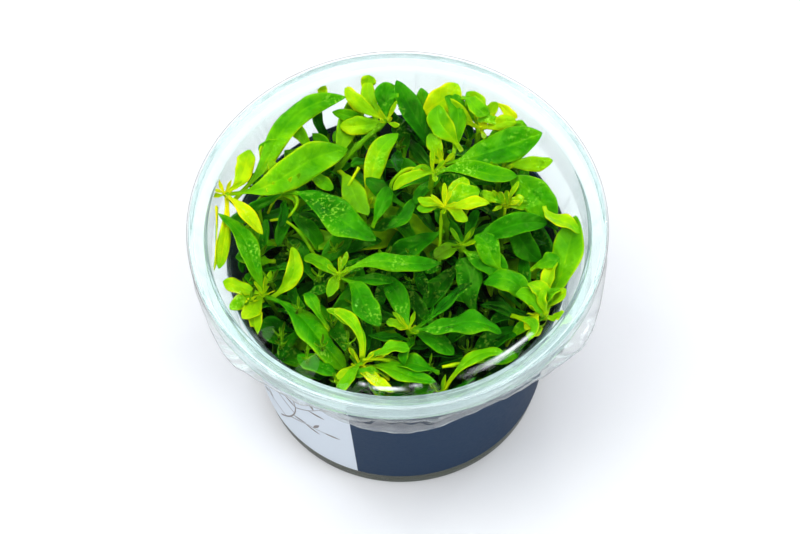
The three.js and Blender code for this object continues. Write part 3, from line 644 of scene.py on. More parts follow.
leaf_tissue = tissue_material("leaf tissue", LEAF_TONES, 0.15, 0.54, 0.6)
stem_tissue = tissue_material("stem tissue", STEM_TONES, 0.16, 0.5, 0.4)
clear_plastic = clear_material("clear cup plastic", (0.975, 0.995, 0.99), CUP_VEIL, 0.1, 1.2, 0.05, 120.0,
                               (0.93, 0.98, 0.975))
tint_through(clear_plastic, (0.45, 0.93, 0.8), 34.0)
clear_film = clear_material("clear film", (0.99, 0.997, 0.995), FILM_VEIL, 0.03, 1.18, 0.12, 60.0,
                            (0.985, 0.99, 0.99))
navy_print = print_material("dark blue print", (0.011, 0.033, 0.078), (0.018, 0.046, 0.096), 0.3)
pale_print = print_material("pale print", (0.63, 0.7, 0.77), (0.73, 0.78, 0.83), 0.35)
ink_print = print_material("grey brown print", (0.2, 0.19, 0.2), (0.42, 0.36, 0.3), 0.35)
gel = gel_material()


# Mesh building

def new_object(name, data):
    made = bpy.data.objects.new(name, data)
    bpy.context.collection.objects.link(made)
    return made


def set_smooth(mesh, smooth=True):
    mesh.polygons.foreach_set("use_smooth", [smooth] * len(mesh.polygons))


def set_blade_map(mesh, uv):
    """Gives every corner of a mesh its point's place on the blade."""
    layer = mesh.uv_layers.new(name="blade")
    corner_verts = np.empty(len(mesh.loops), dtype=np.int64)
    mesh.loops.foreach_get("vertex_index", corner_verts)
    layer.data.foreach_set("uv", np.asarray(uv, dtype=np.float32)[corner_verts].ravel())


def set_values(mesh, **values):
    """Named numbers on the points of a mesh, such as the tone of youth and painted shade, and the amount of
    haze and painted highlight.
    """
    for label, numbers in values.items():
        layer = mesh.attributes.new(label, "FLOAT", "POINT")
        layer.data.foreach_set("value", np.asarray(numbers, dtype=np.float32))


def add_piece(name, verts, faces, material, slot, replaced=(), uv=None, **values):
    """A smooth-shaded piece from millimetre points, with its blade map and point values when given."""
    mesh = bpy.data.meshes.new(name)
    mesh.from_pydata((np.asarray(verts) * MM).tolist(), [], faces)
    if uv is not None:
        set_blade_map(mesh, uv)
    set_values(mesh, **values)
    set_smooth(mesh)
    mesh.materials.append(material)
    mesh.update()
    piece = new_object(name, mesh)
    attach(piece, "root")
    if replaced:
        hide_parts(*replaced)
    return piece


class Parts:
    """Collects several surfaces so that they become one mesh."""

    def __init__(self):
        self.verts, self.faces, self.uv, self.youth = [], [], [], []

    def add(self, verts, faces, uv, youth):
        start = sum(len(block) for block in self.verts)
        self.verts.append(verts)
        self.faces.extend(tuple(start + index for index in face) for face in faces)
        self.uv.append(uv)
        self.youth.append(youth)

    def add_leaf(self, controls, width, roll, youth, style, **grid):
        """A fine leaf, kept inside the cup and under the film."""
        verts, faces, uv, tone = leaf_surface(controls, width, roll, youth, style, **grid)
        self.add(keep_inside(verts), faces, uv, tone)

    def piece(self, name, material, slot, replaced=()):
        return add_piece(name, np.vstack(self.verts), self.faces, material, slot, replaced,
                         np.vstack(self.uv), youth=np.concatenate(self.youth))


def lathe(profile, steps=ROUND_STEPS):
    """A closed turned body from a profile of (radius, height) that starts and ends on the axis."""
    verts, rows = [], []
    for radius, z in profile:
        if radius == 0:
            rows.append([len(verts)] * steps)
            verts.append((0, 0, z))
            continue
        rows.append(list(range(len(verts), len(verts) + steps)))
        for step in range(steps):
            angle = 2 * math.pi * step / steps
            verts.append((radius * math.cos(angle), radius * math.sin(angle), z))
    faces = []
    for low, high in zip(rows, rows[1:]):
        for step in range(steps):
            after = (step + 1) % steps
            corners = []
            for index in (low[step], low[after], high[after], high[step]):
                if index not in corners:
                    corners.append(index)
            faces.append(tuple(corners))
    return verts, faces


def round_corner(before, corner, after, rounding, steps=5):
    """Points of a small fillet at a corner of a profile."""
    corner, before, after = (np.asarray(point, dtype=float) for point in (corner, before, after))
    start = corner + (before - corner) / np.linalg.norm(before - corner) * rounding
    end = corner + (after - corner) / np.linalg.norm(after - corner) * rounding
    points = []
    for step in range(steps + 1):
        share = step / steps
        points.append((1 - share) ** 2 * start + 2 * share * (1 - share) * corner + share ** 2 * end)
    return [(float(radius), float(z)) for radius, z in points]


def rounded_profile(corners):
    """A profile from corners of (radius, height, rounding), where a rounding of 0 leaves one sharp."""
    points = []
    for index, (radius, z, rounding) in enumerate(corners):
        if rounding == 0:
            points.append((radius, z))
        else:
            before, after = corners[index - 1][:2], corners[index + 1][:2]
            points.extend(round_corner(before, (radius, z), after, rounding))
    return points


# Cup and gel

def make_cup():
    ledge = wall_radius(LEDGE_LOW)
    gel_edge = GEL_TOP + 1
    verts, faces = lathe(rounded_profile([
        (0, 0, 0), (BASE_RADIUS, 0, 0.9), (wall_radius(GEL_TOP), GEL_TOP, 0),
        (wall_radius(gel_edge), gel_edge, 0), (ledge, LEDGE_LOW, 0.8),
        (MOUTH_FOOT_RADIUS + WALL, LEDGE_LOW + LEDGE_RISE, 0.8),
        (MOUTH_RADIUS + WALL, MOUTH_EDGE - WALL, 0.5), (RIM_RADIUS - WALL, RIM_TOP - RIM_UNDERSIDE, 0.6),
        (RIM_RADIUS - WALL, SKIRT_END, 0.3), (RIM_RADIUS, SKIRT_END, 0.3), (RIM_RADIUS, RIM_TOP, 1.0),
        (MOUTH_RADIUS, MOUTH_EDGE + 0.5, 0.9), (MOUTH_FOOT_RADIUS, LEDGE_LOW + LEDGE_RISE + WALL, 0.8),
        (ledge - WALL, LEDGE_LOW + WALL / 2, 0.8), (wall_radius(FLOOR) - WALL, FLOOR, 1.2), (0, FLOOR, 0),
    ]))
    height = np.array([vert[2] for vert in verts])
    milky = np.interp(height, (GEL_TOP, gel_edge, LEDGE_LOW, SKIRT_END), (0.8, 0.02, 0.04, 0.14))
    murky = (height <= gel_edge).astype(float)
    add_piece("cup_shell", verts, faces, clear_plastic, "clear_plastic", ("cup",), milky=milky, murky=murky)


def make_gel():
    """The gel, creeping up the wall a little at its edge."""
    low = FLOOR + GEL_GAP
    shrink = WALL + GEL_GAP
    edge = wall_radius(GEL_TOP) - shrink
    verts, faces = lathe(rounded_profile([
        (0, low, 0), (wall_radius(low) - shrink, low, 0.4), (edge, GEL_TOP + GEL_CREEP, 0.15),
        (edge - 1.6, GEL_TOP - 0.2, 0.6), (0, GEL_TOP - GEL_CREEP, 0),
    ]))
    add_piece("gel_layer", verts, faces, gel, "nutrient_gel", ("agar_gel",))


# Label: the pale panel and the dark one start at the same edge and go opposite ways round

PALE_START = math.radians(-108.6)
PALE_SPREAD = math.radians(65)
DARK_SPREAD = math.radians(295)
LABEL_STEP = math.radians(1.5)


def label_arc(start, end, name, material, replaced=()):
    """A strip of the label from one angle to another, as a thin closed shell."""
    steps = int(abs(end - start) / LABEL_STEP)
    low, high = (wall_radius(z) + LABEL_OFFSET for z in (LABEL_LOW, LABEL_HIGH))
    section = [(low, LABEL_LOW), (low + LABEL_THICKNESS, LABEL_LOW), (high + LABEL_THICKNESS, LABEL_HIGH),
               (high, LABEL_HIGH)]
    verts, faces = [], []
    for step in range(steps + 1):
        angle = start + (end - start) * step / steps
        verts.extend((radius * math.cos(angle), radius * math.sin(angle), z) for radius, z in section)
    for step in range(steps):
        for corner in range(4):
            here, after = 4 * step + corner, 4 * step + (corner + 1) % 4
            face = (here, here + 4, after + 4, after)
            faces.append(face if end < start else (here, after, after + 4, here + 4))
    caps = [(0, 1, 2, 3), tuple(4 * steps + index for index in (3, 2, 1, 0))]
    faces.extend(caps if end < start else [tuple(reversed(cap)) for cap in caps])
    piece = add_piece(name, verts, faces, material, "printed_paper", replaced)
    set_smooth(piece.data, False)


def make_label():
    label_arc(PALE_START, PALE_START + DARK_SPREAD, "label_dark", navy_print, ("label",))
    label_arc(PALE_START, PALE_START - PALE_SPREAD, "label_pale", pale_print)


# Printed sprig on the pale panel: lines as points (distance from the panel's edge, height) and half width
SPRIG_LINES = (
    (((24, 12), (19, 20), (16, 30), (17, 42)), 0.3),
    (((19, 20), (13, 24), (8, 25)), 0.2),
    (((17, 26), (23, 32), (27, 34)), 0.2),
    (((16, 31), (11, 36), (8, 40)), 0.18),
    (((16.5, 37), (20, 42), (23, 44)), 0.18),
    (((21, 16), (27, 19), (31, 19)), 0.2),
)
# Leaves on every line of the sprig, as (share of the line, turn from its heading)
SPRIG_LEAVES = ((0.45, 0.9), (0.7, -0.9), (1.0, 0.15))
SPRIG_LEAF_LENGTH = 4.6
SPRIG_LEAF_WIDTH = 1.0
SPRIG_THICKNESS = 0.03
SPRIG_TAPER = 0.35
LINE_POINTS = 14
LEAF_POINTS = 9


def panel_point(along, z):
    """A place on the label's surface, along millimetres to the left of the panel's edge."""
    radius = wall_radius(z) + LABEL_OFFSET + LABEL_THICKNESS
    angle = PALE_START - along / radius
    return np.array([radius * math.cos(angle), radius * math.sin(angle), z])


def printed_strip(points, half_widths):
    """A flat printed strip laid on the label along panel points, as a thin closed shell."""
    points = np.array(points, dtype=float)
    heading = np.gradient(points, axis=0)
    heading /= np.linalg.norm(heading, axis=1, keepdims=True)
    side = np.stack([-heading[:, 1], heading[:, 0]], axis=-1) * np.asarray(half_widths)[:, None]
    low = np.array([[panel_point(*(spot - offset)), panel_point(*(spot + offset))]
                    for spot, offset in zip(points, side)])
    outward = low * (1, 1, 0) / np.linalg.norm(low[..., :2], axis=-1, keepdims=True)
    verts = np.vstack([(low + outward * SPRIG_THICKNESS).reshape(-1, 3), low.reshape(-1, 3)])
    return verts, shell_faces(len(points) - 1, 1)


def sprig_leaf(path, share, turn):
    """A small printed leaf on a line, turned from the line's heading."""
    foot = curve_point(path, share)
    ahead = foot - curve_point(path, share - 0.1)
    angle = math.atan2(ahead[1], ahead[0]) + turn
    reach = SPRIG_LEAF_LENGTH * np.array([math.cos(angle), math.sin(angle)])
    spots = [foot + reach * step for step in np.linspace(0, 1, LEAF_POINTS)]
    swell = np.sin(np.pi * np.linspace(0.02, 0.98, LEAF_POINTS))
    return printed_strip(spots, 0.5 * SPRIG_LEAF_WIDTH * swell)


def make_sprig():
    parts = Parts()
    for points, half_width in SPRIG_LINES:
        path = [np.array(point, dtype=float) for point in points]
        spots = [curve_point(path, share) for share in np.linspace(0, 1, LINE_POINTS)]
        strips = [printed_strip(spots, half_width * np.linspace(1, SPRIG_TAPER, LINE_POINTS))]
        strips += [sprig_leaf(path, share, turn) for share, turn in SPRIG_LEAVES]
        for verts, faces in strips:
            parts.add(verts, faces, np.zeros((len(verts), 2)), np.zeros(len(verts)))
    parts.piece("label_sprig", ink_print, "printed_paper")


# Stem curves and the places of leaves

def curve_point(points, share):
    """A point on the smooth curve through the points, spaced by the square root of their distances."""
    place = share * (len(points) - 1)
    index = min(int(place), len(points) - 2)
    weight = place - index
    p1, p2 = points[index], points[index + 1]
    p0 = points[index - 1] if index > 0 else 2 * p1 - p2
    p3 = points[index + 2] if index + 2 < len(points) else 2 * p2 - p1
    d0, d1, d2 = (np.sqrt(np.linalg.norm(b - a)) for a, b in ((p0, p1), (p1, p2), (p2, p3)))
    out = ((p1 - p0) / d0 - (p2 - p0) / (d0 + d1) + (p2 - p1) / d1) * d1
    into = ((p2 - p1) / d1 - (p3 - p1) / (d1 + d2) + (p3 - p2) / d2) * d1
    square, cube = weight * weight, weight ** 3
    return ((2 * cube - 3 * square + 1) * p1 + (cube - 2 * square + weight) * out
            + (3 * square - 2 * cube) * p2 + (cube - square) * into)


def stem_points(path):
    """The points of a stem; a point of two numbers is its foot in the gel."""
    return [np.array(point if len(point) == 3 else (*point, STEM_FOOT), dtype=float) for point in path]


def level_unit(vector):
    flat = np.array([vector[0], vector[1], 0.0])
    return flat / (np.linalg.norm(flat) + 1e-9)


def bow(base, tip, arch, sway):
    """The three control points of a leaf's midline."""
    run = level_unit(tip - base)
    middle = (base + tip) / 2 + 2 * sway * np.array([-run[1], run[0], 0.0])
    middle[2] += 2 * arch
    return base, middle, tip


def bow_point(controls, share):
    base, middle, tip = controls
    share = np.asarray(share)[..., None]
    return (1 - share) ** 2 * base + 2 * share * (1 - share) * middle + share ** 2 * tip


def bow_heading(controls, share):
    base, middle, tip = controls
    share = np.asarray(share)[..., None]
    heading = 2 * (1 - share) * (middle - base) + 2 * share * (tip - middle)
    return heading / np.linalg.norm(heading, axis=-1, keepdims=True)


def along_blade(share):
    """How far along its blade a place on a leaf's midline is: 0 until the stalk ends, 1 at the tip."""
    return np.clip((share - STALK_SHARE) / (1 - STALK_SHARE), 0, 1)


def blade_frame(controls, share, roll):
    """Midline points with the blade's sideways and upward directions there."""
    centre = bow_point(controls, share)
    along = bow_heading(controls, share)
    face = np.stack([-centre[:, 0] * INWARD_LEAN, -centre[:, 1] * INWARD_LEAN - FRONT_LEAN,
                     np.ones(len(centre))], axis=-1)
    side = np.cross(along, face)
    side /= np.linalg.norm(side, axis=-1, keepdims=True)
    up = np.cross(side, along)
    turn = np.radians(np.asarray(roll, dtype=float) + np.zeros(len(centre)))[:, None]
    return centre, side * np.cos(turn) + up * np.sin(turn), up * np.cos(turn) - side * np.sin(turn)


def solid_points(controls, width, roll, stations):
    """The corner points of a leaf's plain solid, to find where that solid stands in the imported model."""
    share = np.array(stations)
    centre, side, up = blade_frame(controls, share, roll)
    swell = width / 2 * np.sin(np.pi * along_blade(share) ** SOLID_SKEW) ** SOLID_FULLNESS
    half = np.maximum(SOLID_STALK, swell)[:, None]
    raised = SOLID_FOLD * (half - SOLID_STALK)
    rings = [centre + side * half + up * raised, centre - up * SOLID_HALF_THICKNESS,
             centre - side * half + up * raised, centre + up * SOLID_HALF_THICKNESS, controls[2][None]]
    return np.vstack(rings)


def node_points(node):
    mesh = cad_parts[node].data
    spots = np.empty(len(mesh.vertices) * 3)
    mesh.vertices.foreach_get("co", spots)
    return np.unique(np.round(spots.reshape(-1, 3) / MM, 3), axis=0)


def settled_controls(stem, at, start, tip, width, arch, sway, roll, stations, spots):
    """The midline of a leaf where the solids have it: of all the moves, the one whose points are there."""
    tip = np.array(tip, dtype=float)
    best, best_miss = None, math.inf
    for slide in SLIDES:
        root = curve_point(stem, max(at - slide, 0))
        run = level_unit(tip - root)
        side = np.array([-run[1], run[0], 0.0])
        for lift, turn in itertools.product(LIFTS, TURNS):
            end = tip + side * turn + np.array([0, 0, lift])
            if np.linalg.norm(spots - end, axis=1).min() > SAME_PLACE:
                continue
            controls = bow(root + start * level_unit(end - root), end, arch, sway)
            corners = solid_points(controls, width, roll, stations)
            miss = np.linalg.norm(corners[:, None] - spots[None], axis=-1).min(axis=1).mean()
            if miss < best_miss:
                best, best_miss = (root, controls), miss
    if best is None:
        root = curve_point(stem, at)
        return root, bow(root, tip, arch, sway)
    return best


# Fine leaves

class Style:
    """How one leaf differs from the next."""

    def __init__(self, seed, lively=1.0):
        rng = np.random.default_rng(seed)
        self.base_power = rng.uniform(0.85, 1.15)
        self.tip_power = rng.uniform(0.62, 0.9)
        self.twist = rng.uniform(-18, 18) * lively
        self.fold = rng.uniform(0.05, 0.42)
        self.curl = rng.uniform(-0.9, 2.0)
        self.bend = rng.uniform(-0.035, 0.035) * lively
        self.droop = rng.uniform(-0.03, 0.07) * lively
        self.edge_wave = rng.uniform(0.3, 0.75)
        self.fade = rng.uniform(-0.16, 0.12)
        self.waves = rng.uniform(1.4, 2.8)
        self.phase = rng.uniform(0, 6.28)
        self.lag = rng.uniform(0.8, 2.4)
        self.wobble = rng.uniform(2.0, 3.5)
        self.tone = 0.04 * rng.standard_normal()


def bent_midline(controls, share, roll, length, style):
    """The leaf's frame along its midline, with the style's twist, sideways bend and drooping tip."""
    centre, side, up = blade_frame(controls, share, roll + style.twist * (share - 0.5))
    sideways = style.bend * np.sin(2 * np.pi * share)
    dropped = style.droop * np.clip((share - 0.5) / 0.5, 0, 1) ** 2
    centre = centre + length * (side * sideways[:, None] - up * dropped[:, None])
    return centre[:, None], side[:, None], up[:, None]


def half_widths(share, width, style):
    """Half the width along a leaf: a stalk that swells into a blade with a blunt tip."""
    along = along_blade(share)
    a, b = style.base_power, style.tip_power
    peak = (a / (a + b)) ** a * (b / (a + b)) ** b
    swell = width / 2 * along ** a * (1 - along) ** b / peak
    stalk = FINE_STALK * np.clip((1 - share) * 12, 0.08, 1) * min(1, width / 2.4)
    return np.sqrt(swell ** 2 + stalk ** 2)


def blade_height(s, v, w, blade, width, length, style):
    """The blade's relief: fold, curled and waved margin, and the swelling between its side veins."""
    height = style.fold * (np.sqrt(s * s + 0.02) - 0.14) * np.maximum(w - FINE_STALK, 0)
    height -= EDGE_CURL * style.curl * w * s ** 4 * blade
    ripple = np.sin(2 * np.pi * v * style.waves + style.phase + style.lag * np.sign(s))
    height += style.edge_wave * ripple * s * s * blade * min(width, 8) / 6
    veins = v * length / VEIN_SPACING - np.abs(s) * VEIN_SLANT
    quilt = np.abs(np.sin(np.pi * veins)) ** 0.7 - 0.5
    between = np.clip(4 * np.abs(s) * (1.05 - np.abs(s)), 0, 1)
    return height + VEIN_RELIEF * quilt * blade * between * min(width, 7) / 7


def leaf_surface(controls, width, roll, youth, style, rows=56, cols=14):
    """A thin closed blade, from s across (-1 to 1) and v along (0 to 1): points, faces, blade map, tone."""
    even = np.linspace(0, 1, rows + 1)
    share = even - TIP_CROWDING * np.sin(2 * np.pi * even) / (2 * np.pi)
    length = np.linalg.norm(np.diff(bow_point(controls, share), axis=0), axis=1).sum()
    centre, side, up = bent_midline(controls, share, roll, length, style)
    s, v = np.meshgrid(np.linspace(-1, 1, cols + 1), share)
    w = half_widths(share, width, style)[:, None] + 0 * s
    blade = np.clip(w / (0.5 * width + 1e-6), 0, 1)
    wobble = EDGE_WOBBLE * np.sin(2 * np.pi * v * style.wobble + style.phase + 1.5 * np.sign(s))
    x = (s * w * (1 + wobble * blade * np.abs(s)))[..., None]
    height = blade_height(s, v, w, blade, width, length, style)
    rib = np.exp(-((s * w / RIB_HALF_WIDTH) ** 2)) * (1 - 0.75 * v)
    foot = FOOT_THICKNESS * np.exp(-((v / 0.1) ** 2))
    depth = BLADE_THICKNESS + RIB_THICKNESS * rib * (1 - 0.3 * blade) + foot
    depth *= np.clip((1 - v) * 10, 0.25, 1) * min(1, 0.4 + width / 6)
    top = centre + side * x + up * (height - RIB_GROOVE * rib * blade)[..., None]
    low = centre + side * x * 0.985 + up * (height - depth)[..., None]
    uv = np.stack([(s * 0.5 + 0.5).ravel(), (v * length / VEIN_SPACING).ravel()], axis=-1)
    foot_paler = FOOT_PALER * np.exp(-((v / 0.2) ** 2)) * (0.9 - youth)
    # Margins lightened as painted light
    edge_painted_light = (EDGE_PAINTED_LIGHT[0] * np.abs(s) ** 4 + EDGE_PAINTED_LIGHT[1] * np.abs(s) ** 16) * blade
    tone = (youth + style.tone + foot_paler + style.fade * (v - 0.4) + edge_painted_light).ravel()
    verts = np.vstack([top.reshape(-1, 3), low.reshape(-1, 3)])
    return verts, shell_faces(rows, cols), np.vstack([uv, uv]), np.concatenate([tone, tone])


def shell_faces(rows, cols):
    """Faces of a closed thin shell whose top grid of points is followed by its lower one."""
    stride, offset = cols + 1, (rows + 1) * (cols + 1)
    faces = []
    for row in range(rows):
        for col in range(cols):
            a = row * stride + col
            faces.append((a, a + 1, a + stride + 1, a + stride))
            faces.append((offset + a, offset + a + stride, offset + a + stride + 1, offset + a + 1))
        a, b = row * stride, row * stride + cols
        faces.append((a, a + stride, offset + a + stride, offset + a))
        faces.append((b, offset + b, offset + b + stride, b + stride))
    for col in range(cols):
        a, b = col, rows * stride + col
        faces.append((a, offset + a, offset + a + 1, a + 1))
        faces.append((b, b + 1, offset + b + 1, offset + b))
    return faces


def keep_inside(verts):
    """Pulls the few points of a blade that would pass the cup's wall or the film back inside."""
    radius = np.hypot(verts[:, 0], verts[:, 1])
    room = np.array([inner_radius(z) for z in verts[:, 2]]) - WALL_ROOM
    squeeze = np.minimum(1, room / np.maximum(radius, 1e-6))
    verts[:, :2] *= squeeze[:, None]
    ceiling = FILM_LEVEL - FILM - FILM_ROOM
    over = np.maximum(verts[:, 2] - (ceiling - FILM_SQUEEZE), 0)
    verts[:, 2] -= over - FILM_SQUEEZE * (1 - np.exp(-over / FILM_SQUEEZE))
    return verts


class Crowd:
    """Sample points of every leaf placed so far, so that new leaves stay clear of them."""

    ACROSS = (-1.0, -0.5, 0.0, 0.5, 1.0)
    ALONG = np.linspace(0.16, 1.0, 9)

    def __init__(self):
        self.spots = np.empty((0, 3))

    def sample(self, controls, width, roll=0):
        centre, side, _ = blade_frame(controls, self.ALONG, roll)
        half = (width / 2 * np.sin(np.pi * along_blade(self.ALONG) ** 0.9) ** 0.7)[:, None]
        return np.vstack([centre + side * half * place for place in self.ACROSS])

    def add(self, spots):
        self.spots = np.vstack([self.spots, spots])

    def clear(self, spots, gap):
        low, high = spots.min(axis=0) - gap, spots.max(axis=0) + gap
        near = self.spots[np.all((self.spots > low) & (self.spots < high), axis=1)]
        if len(near) == 0:
            return True
        return np.linalg.norm(spots[:, None] - near[None], axis=-1).min() > gap


crowd = Crowd()


# Stems

JOINT_SPACING = 13.0
JOINT_SWELL = 0.45
STEM_TAPER = 0.25
RIDGE_HEIGHT = 0.07


def tube_faces(steps, sides):
    """Faces of a tube of rings, closed by a flat cap at either end."""
    faces = []
    for row in range(steps):
        for col in range(sides):
            a, b = row * sides + col, row * sides + (col + 1) % sides
            faces.append((a, a + sides, b + sides, b))
    faces.append(tuple(range(sides)))
    faces.append(tuple(steps * sides + col for col in reversed(range(sides))))
    return faces


def stem_surface(points, radius, youth_low, youth_high, seed, steps=40, sides=12):
    """A stem with swollen joints and four soft ridges: points, faces, blade map, tone."""
    rng = np.random.default_rng(seed)
    share = np.linspace(0, 1, steps + 1)
    centre = np.array([curve_point(points, value) for value in share])
    along = np.gradient(centre, axis=0)
    along /= np.linalg.norm(along, axis=1, keepdims=True)
    side = np.cross(along, np.array([0.0, 1.0, 0.0]))
    side /= np.linalg.norm(side, axis=1, keepdims=True)
    up = np.cross(side, along)
    angle = np.linspace(0, 2 * np.pi, sides, endpoint=False)
    length = np.linalg.norm(np.diff(centre, axis=0), axis=1).sum()
    joint = np.abs(np.sin(np.pi * share * length / JOINT_SPACING + rng.uniform(0, 3))) ** 14
    size = radius * (1.0 - STEM_TAPER * share) * (0.9 + JOINT_SWELL * joint)
    ring = size[:, None] * (1 + RIDGE_HEIGHT * np.cos(4 * angle)[None])
    x, y = (ring * np.cos(angle))[..., None], (ring * np.sin(angle))[..., None]
    verts = (centre[:, None] + side[:, None] * x + up[:, None] * y).reshape(-1, 3)
    across = np.tile(angle / (2 * np.pi) * 0.2 + 0.2, steps + 1)
    uv = np.stack([across, np.repeat(share * length / 4, sides)], axis=-1)
    tone = np.repeat(youth_low + (youth_high - youth_low) * share ** 1.6, sides)
    return verts, tube_faces(steps, sides), uv, tone


def add_bud(parts, top, youth, seed, size=1.0):
    """Crossed pairs of narrow young leaves at a stem's top."""
    heading = math.atan2(top[1], top[0])
    rng = np.random.default_rng(seed)
    for pair, side in itertools.product(range(BUD_PAIRS), range(2)):
        length = size * BUD_LENGTH * BUD_SHRINK ** pair * rng.uniform(*VARIES)
        angle = heading + math.pi * (side + pair / 2 + BUD_TWIST) + rng.uniform(-BUD_SWING, BUD_SWING)
        rise = length * (BUD_RISE + BUD_RISE_GAIN * pair)
        tip = top + np.array([length * math.cos(angle), length * math.sin(angle), rise])
        parts.add_leaf(bow(top, tip, BUD_ARCH, 0), size * BUD_WIDTH * BUD_SHRINK ** (pair / 2), 0,
                       min(youth + BUD_YOUNGER * pair, BUD_YOUNGEST), Style(seed + 10 * pair + side),
                       rows=12, cols=6)


# Main shoots and large leaves

# Where each kind of growth starts its own row of seeds
YOUNG_SEED_STEP = 100
LOWER_SEED = 300
LARGE_SEED = 500
BARE_SEED = 600
SMALL_SEED = 800
BUD_SEED = 1000
BUD_SEED_STEP = 50
FILL_SEED = 2000
SHORT_STEM_SEED = 300
SHORT_BUD_SEED = 4000
PATTERN_SEED = 70
# Seeds of the set-outs: shorter shoots, filling leaves, crumples of the film
SET_OUT_SEED = 7
GROWTH_SEED = 11
CRUMPLE_SEED = 5

# Youth from a stem's foot to its top
STEM_YOUTH = (0.16, 0.55)
SHORT_STEM_YOUTH = (0.1, 0.38)
BARE_STALK_YOUTH = (0.5, 0.78)
SHORT_BUD_YOUTH = 0.3
LOWER_YOUTH = 0.44

# How much broader or narrower the fine leaves of a shoot are than its solids
YOUNG_BREADTH = 1.05
LOWER_BREADTH = 0.9

# How far leaves differ from each other in twist, bend and droop
LARGE_LIVELY = 1.5
SMALL_LIVELY = 1.6
FILL_LIVELY = 2.3


def lower_leaf(root, heading, spots):
    """The midline and width of a stem's lower leaf on one side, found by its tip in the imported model."""
    for shrink, turn in itertools.product(LOWER_SHRINKS, LOWER_TURNS):
        angle = heading + math.radians(turn)
        tip = root + LOWER_LENGTH * shrink * np.array([math.cos(angle), math.sin(angle), LOWER_RISE])
        if np.linalg.norm(spots - tip, axis=1).min() < SAME_PLACE:
            return bow(root, tip, LOWER_ARCH, 0), LOWER_WIDTH * shrink
    return None


def add_young_leaves(parts, stem, young, youth, number, spots):
    """The young leaves at a main stem's top, where its solid has them."""
    for order, (x, y, z, width, arch, sway) in enumerate(young):
        _, controls = settled_controls(stem, 1, 0, (x, y, z), width, arch, sway, 0, YOUNG_STATIONS, spots)
        style = Style(YOUNG_SEED_STEP * number + order)
        parts.add_leaf(controls, width * YOUNG_BREADTH, 0, youth, style, rows=34, cols=10)
        crowd.add(crowd.sample(controls, width))


def add_lower_pair(parts, stem, number, spots):
    """The pair of lower leaves of a main stem, where its solid has them."""
    outward = math.atan2(stem[-1][1], stem[-1][0])
    for side in range(2):
        found = lower_leaf(curve_point(stem, LOWER_SHARE), outward + math.pi * side, spots)
        if found is None:
            continue
        controls, width = found
        style = Style(LOWER_SEED + 2 * number + side)
        parts.add_leaf(controls, width * LOWER_BREADTH, 0, LOWER_YOUTH, style, rows=34, cols=10)
        crowd.add(crowd.sample(controls, width))


def make_shoots():
    """Every main stem with its young leaves, its lower pair and its bud."""
    for number, (name, (path, young, youth)) in enumerate(SHOOTS.items()):
        stem = stem_points(path)
        spots = node_points(name)
        parts = Parts()
        parts.add(*stem_surface(stem, STEM_RADIUS, *STEM_YOUTH, number))
        add_young_leaves(parts, stem, young, youth, number, spots)
        add_lower_pair(parts, stem, number, spots)
        add_bud(parts, curve_point(stem, 1), youth, BUD_SEED + BUD_SEED_STEP * number)
        parts.piece(f"{name}_growth", stem_tissue, "young_shoot", (name,))


def make_large_leaves():
    """The large leaves, each a piece of its own, with the room above them kept open."""
    for index, (shoot, at, tip, width, arch, sway, roll, youth) in enumerate(LEAVES):
        name = f"leaf_{index + 1:02d}"
        stem = stem_points(SHOOTS[shoot][0])
        root, controls = settled_controls(stem, at, STEM_RADIUS + LEAF_GAP, tip, width, arch, sway, roll,
                                          LONG_STATIONS, node_points(name))
        reach = bow(root, controls[2], arch, sway)
        parts = Parts()
        parts.add_leaf(reach, width, roll, youth, Style(LARGE_SEED + index, LARGE_LIVELY))
        parts.piece(f"{name}_blade", leaf_tissue, "leaf", (name,))
        crowd.add(crowd.sample(reach, width, roll))
        for rise in OPEN_ABOVE:
            crowd.add(crowd.sample(reach, OPEN_WIDTH * width, roll) + rise * np.array(OPEN_DIRECTION))


def make_small_leaves():
    """The small leaves near the top that are seen singly."""
    parts = Parts()
    for index, (base, tip, width, arch, sway, roll, youth) in enumerate(SMALL_LEAVES):
        controls = bow(np.array(base, dtype=float), np.array(tip, dtype=float), arch, sway)
        style = Style(SMALL_SEED + index, SMALL_LIVELY)
        parts.add_leaf(controls, width, roll, youth, style, rows=36, cols=10)
        crowd.add(crowd.sample(controls, width, roll))
    parts.piece("small_leaves", leaf_tissue, "leaf")


# Thin bare stalks and curled ones, as points
BARE_STALKS = (
    ((-33.4, 9.6, 54), (-33.6, 14.6, 57.4), (-28.6, 16.2, 59.6), (-24.2, 12.8, 59.2), (-26.4, 9.2, 57.6),
     (-31, 9.0, 56)),
    ((-1.6, 13.4, 54), (-1.0, 18.0, 58), (3.6, 20.2, 60.4), (7.6, 18.4, 60.8)),
    ((9.6, -3.4, 46), (10.2, 1.6, 54), (10.8, 6.6, 61)),
    ((-14.6, 10.4, 50), (-13.0, 15.0, 57), (-9.0, 20.6, 61)),
    ((24.6, 2.6, 48), (25.8, 5.8, 55), (26.2, 8.2, 60)),
    ((-20.6, 2.6, 50), (-24.2, 6.4, 55), (-27.6, 8.6, 57)),
    ((2.6, -24.6, 44), (-0.6, -28.4, 51), (-5.2, -29.8, 55.4), (-9.0, -29.6, 55)),
    ((20.2, -26.4, 46), (15.4, -29.6, 52), (9.6, -31.6, 54)),
)
BARE_STALK_RADIUS = 0.5


def make_bare_stalks():
    parts = Parts()
    for number, path in enumerate(BARE_STALKS):
        parts.add(*stem_surface(stem_points(path), BARE_STALK_RADIUS, *BARE_STALK_YOUTH, BARE_SEED + number,
                                steps=30, sides=8))
    parts.piece("bare_stalks", stem_tissue, "young_shoot")


# Shorter shoots between the main ones

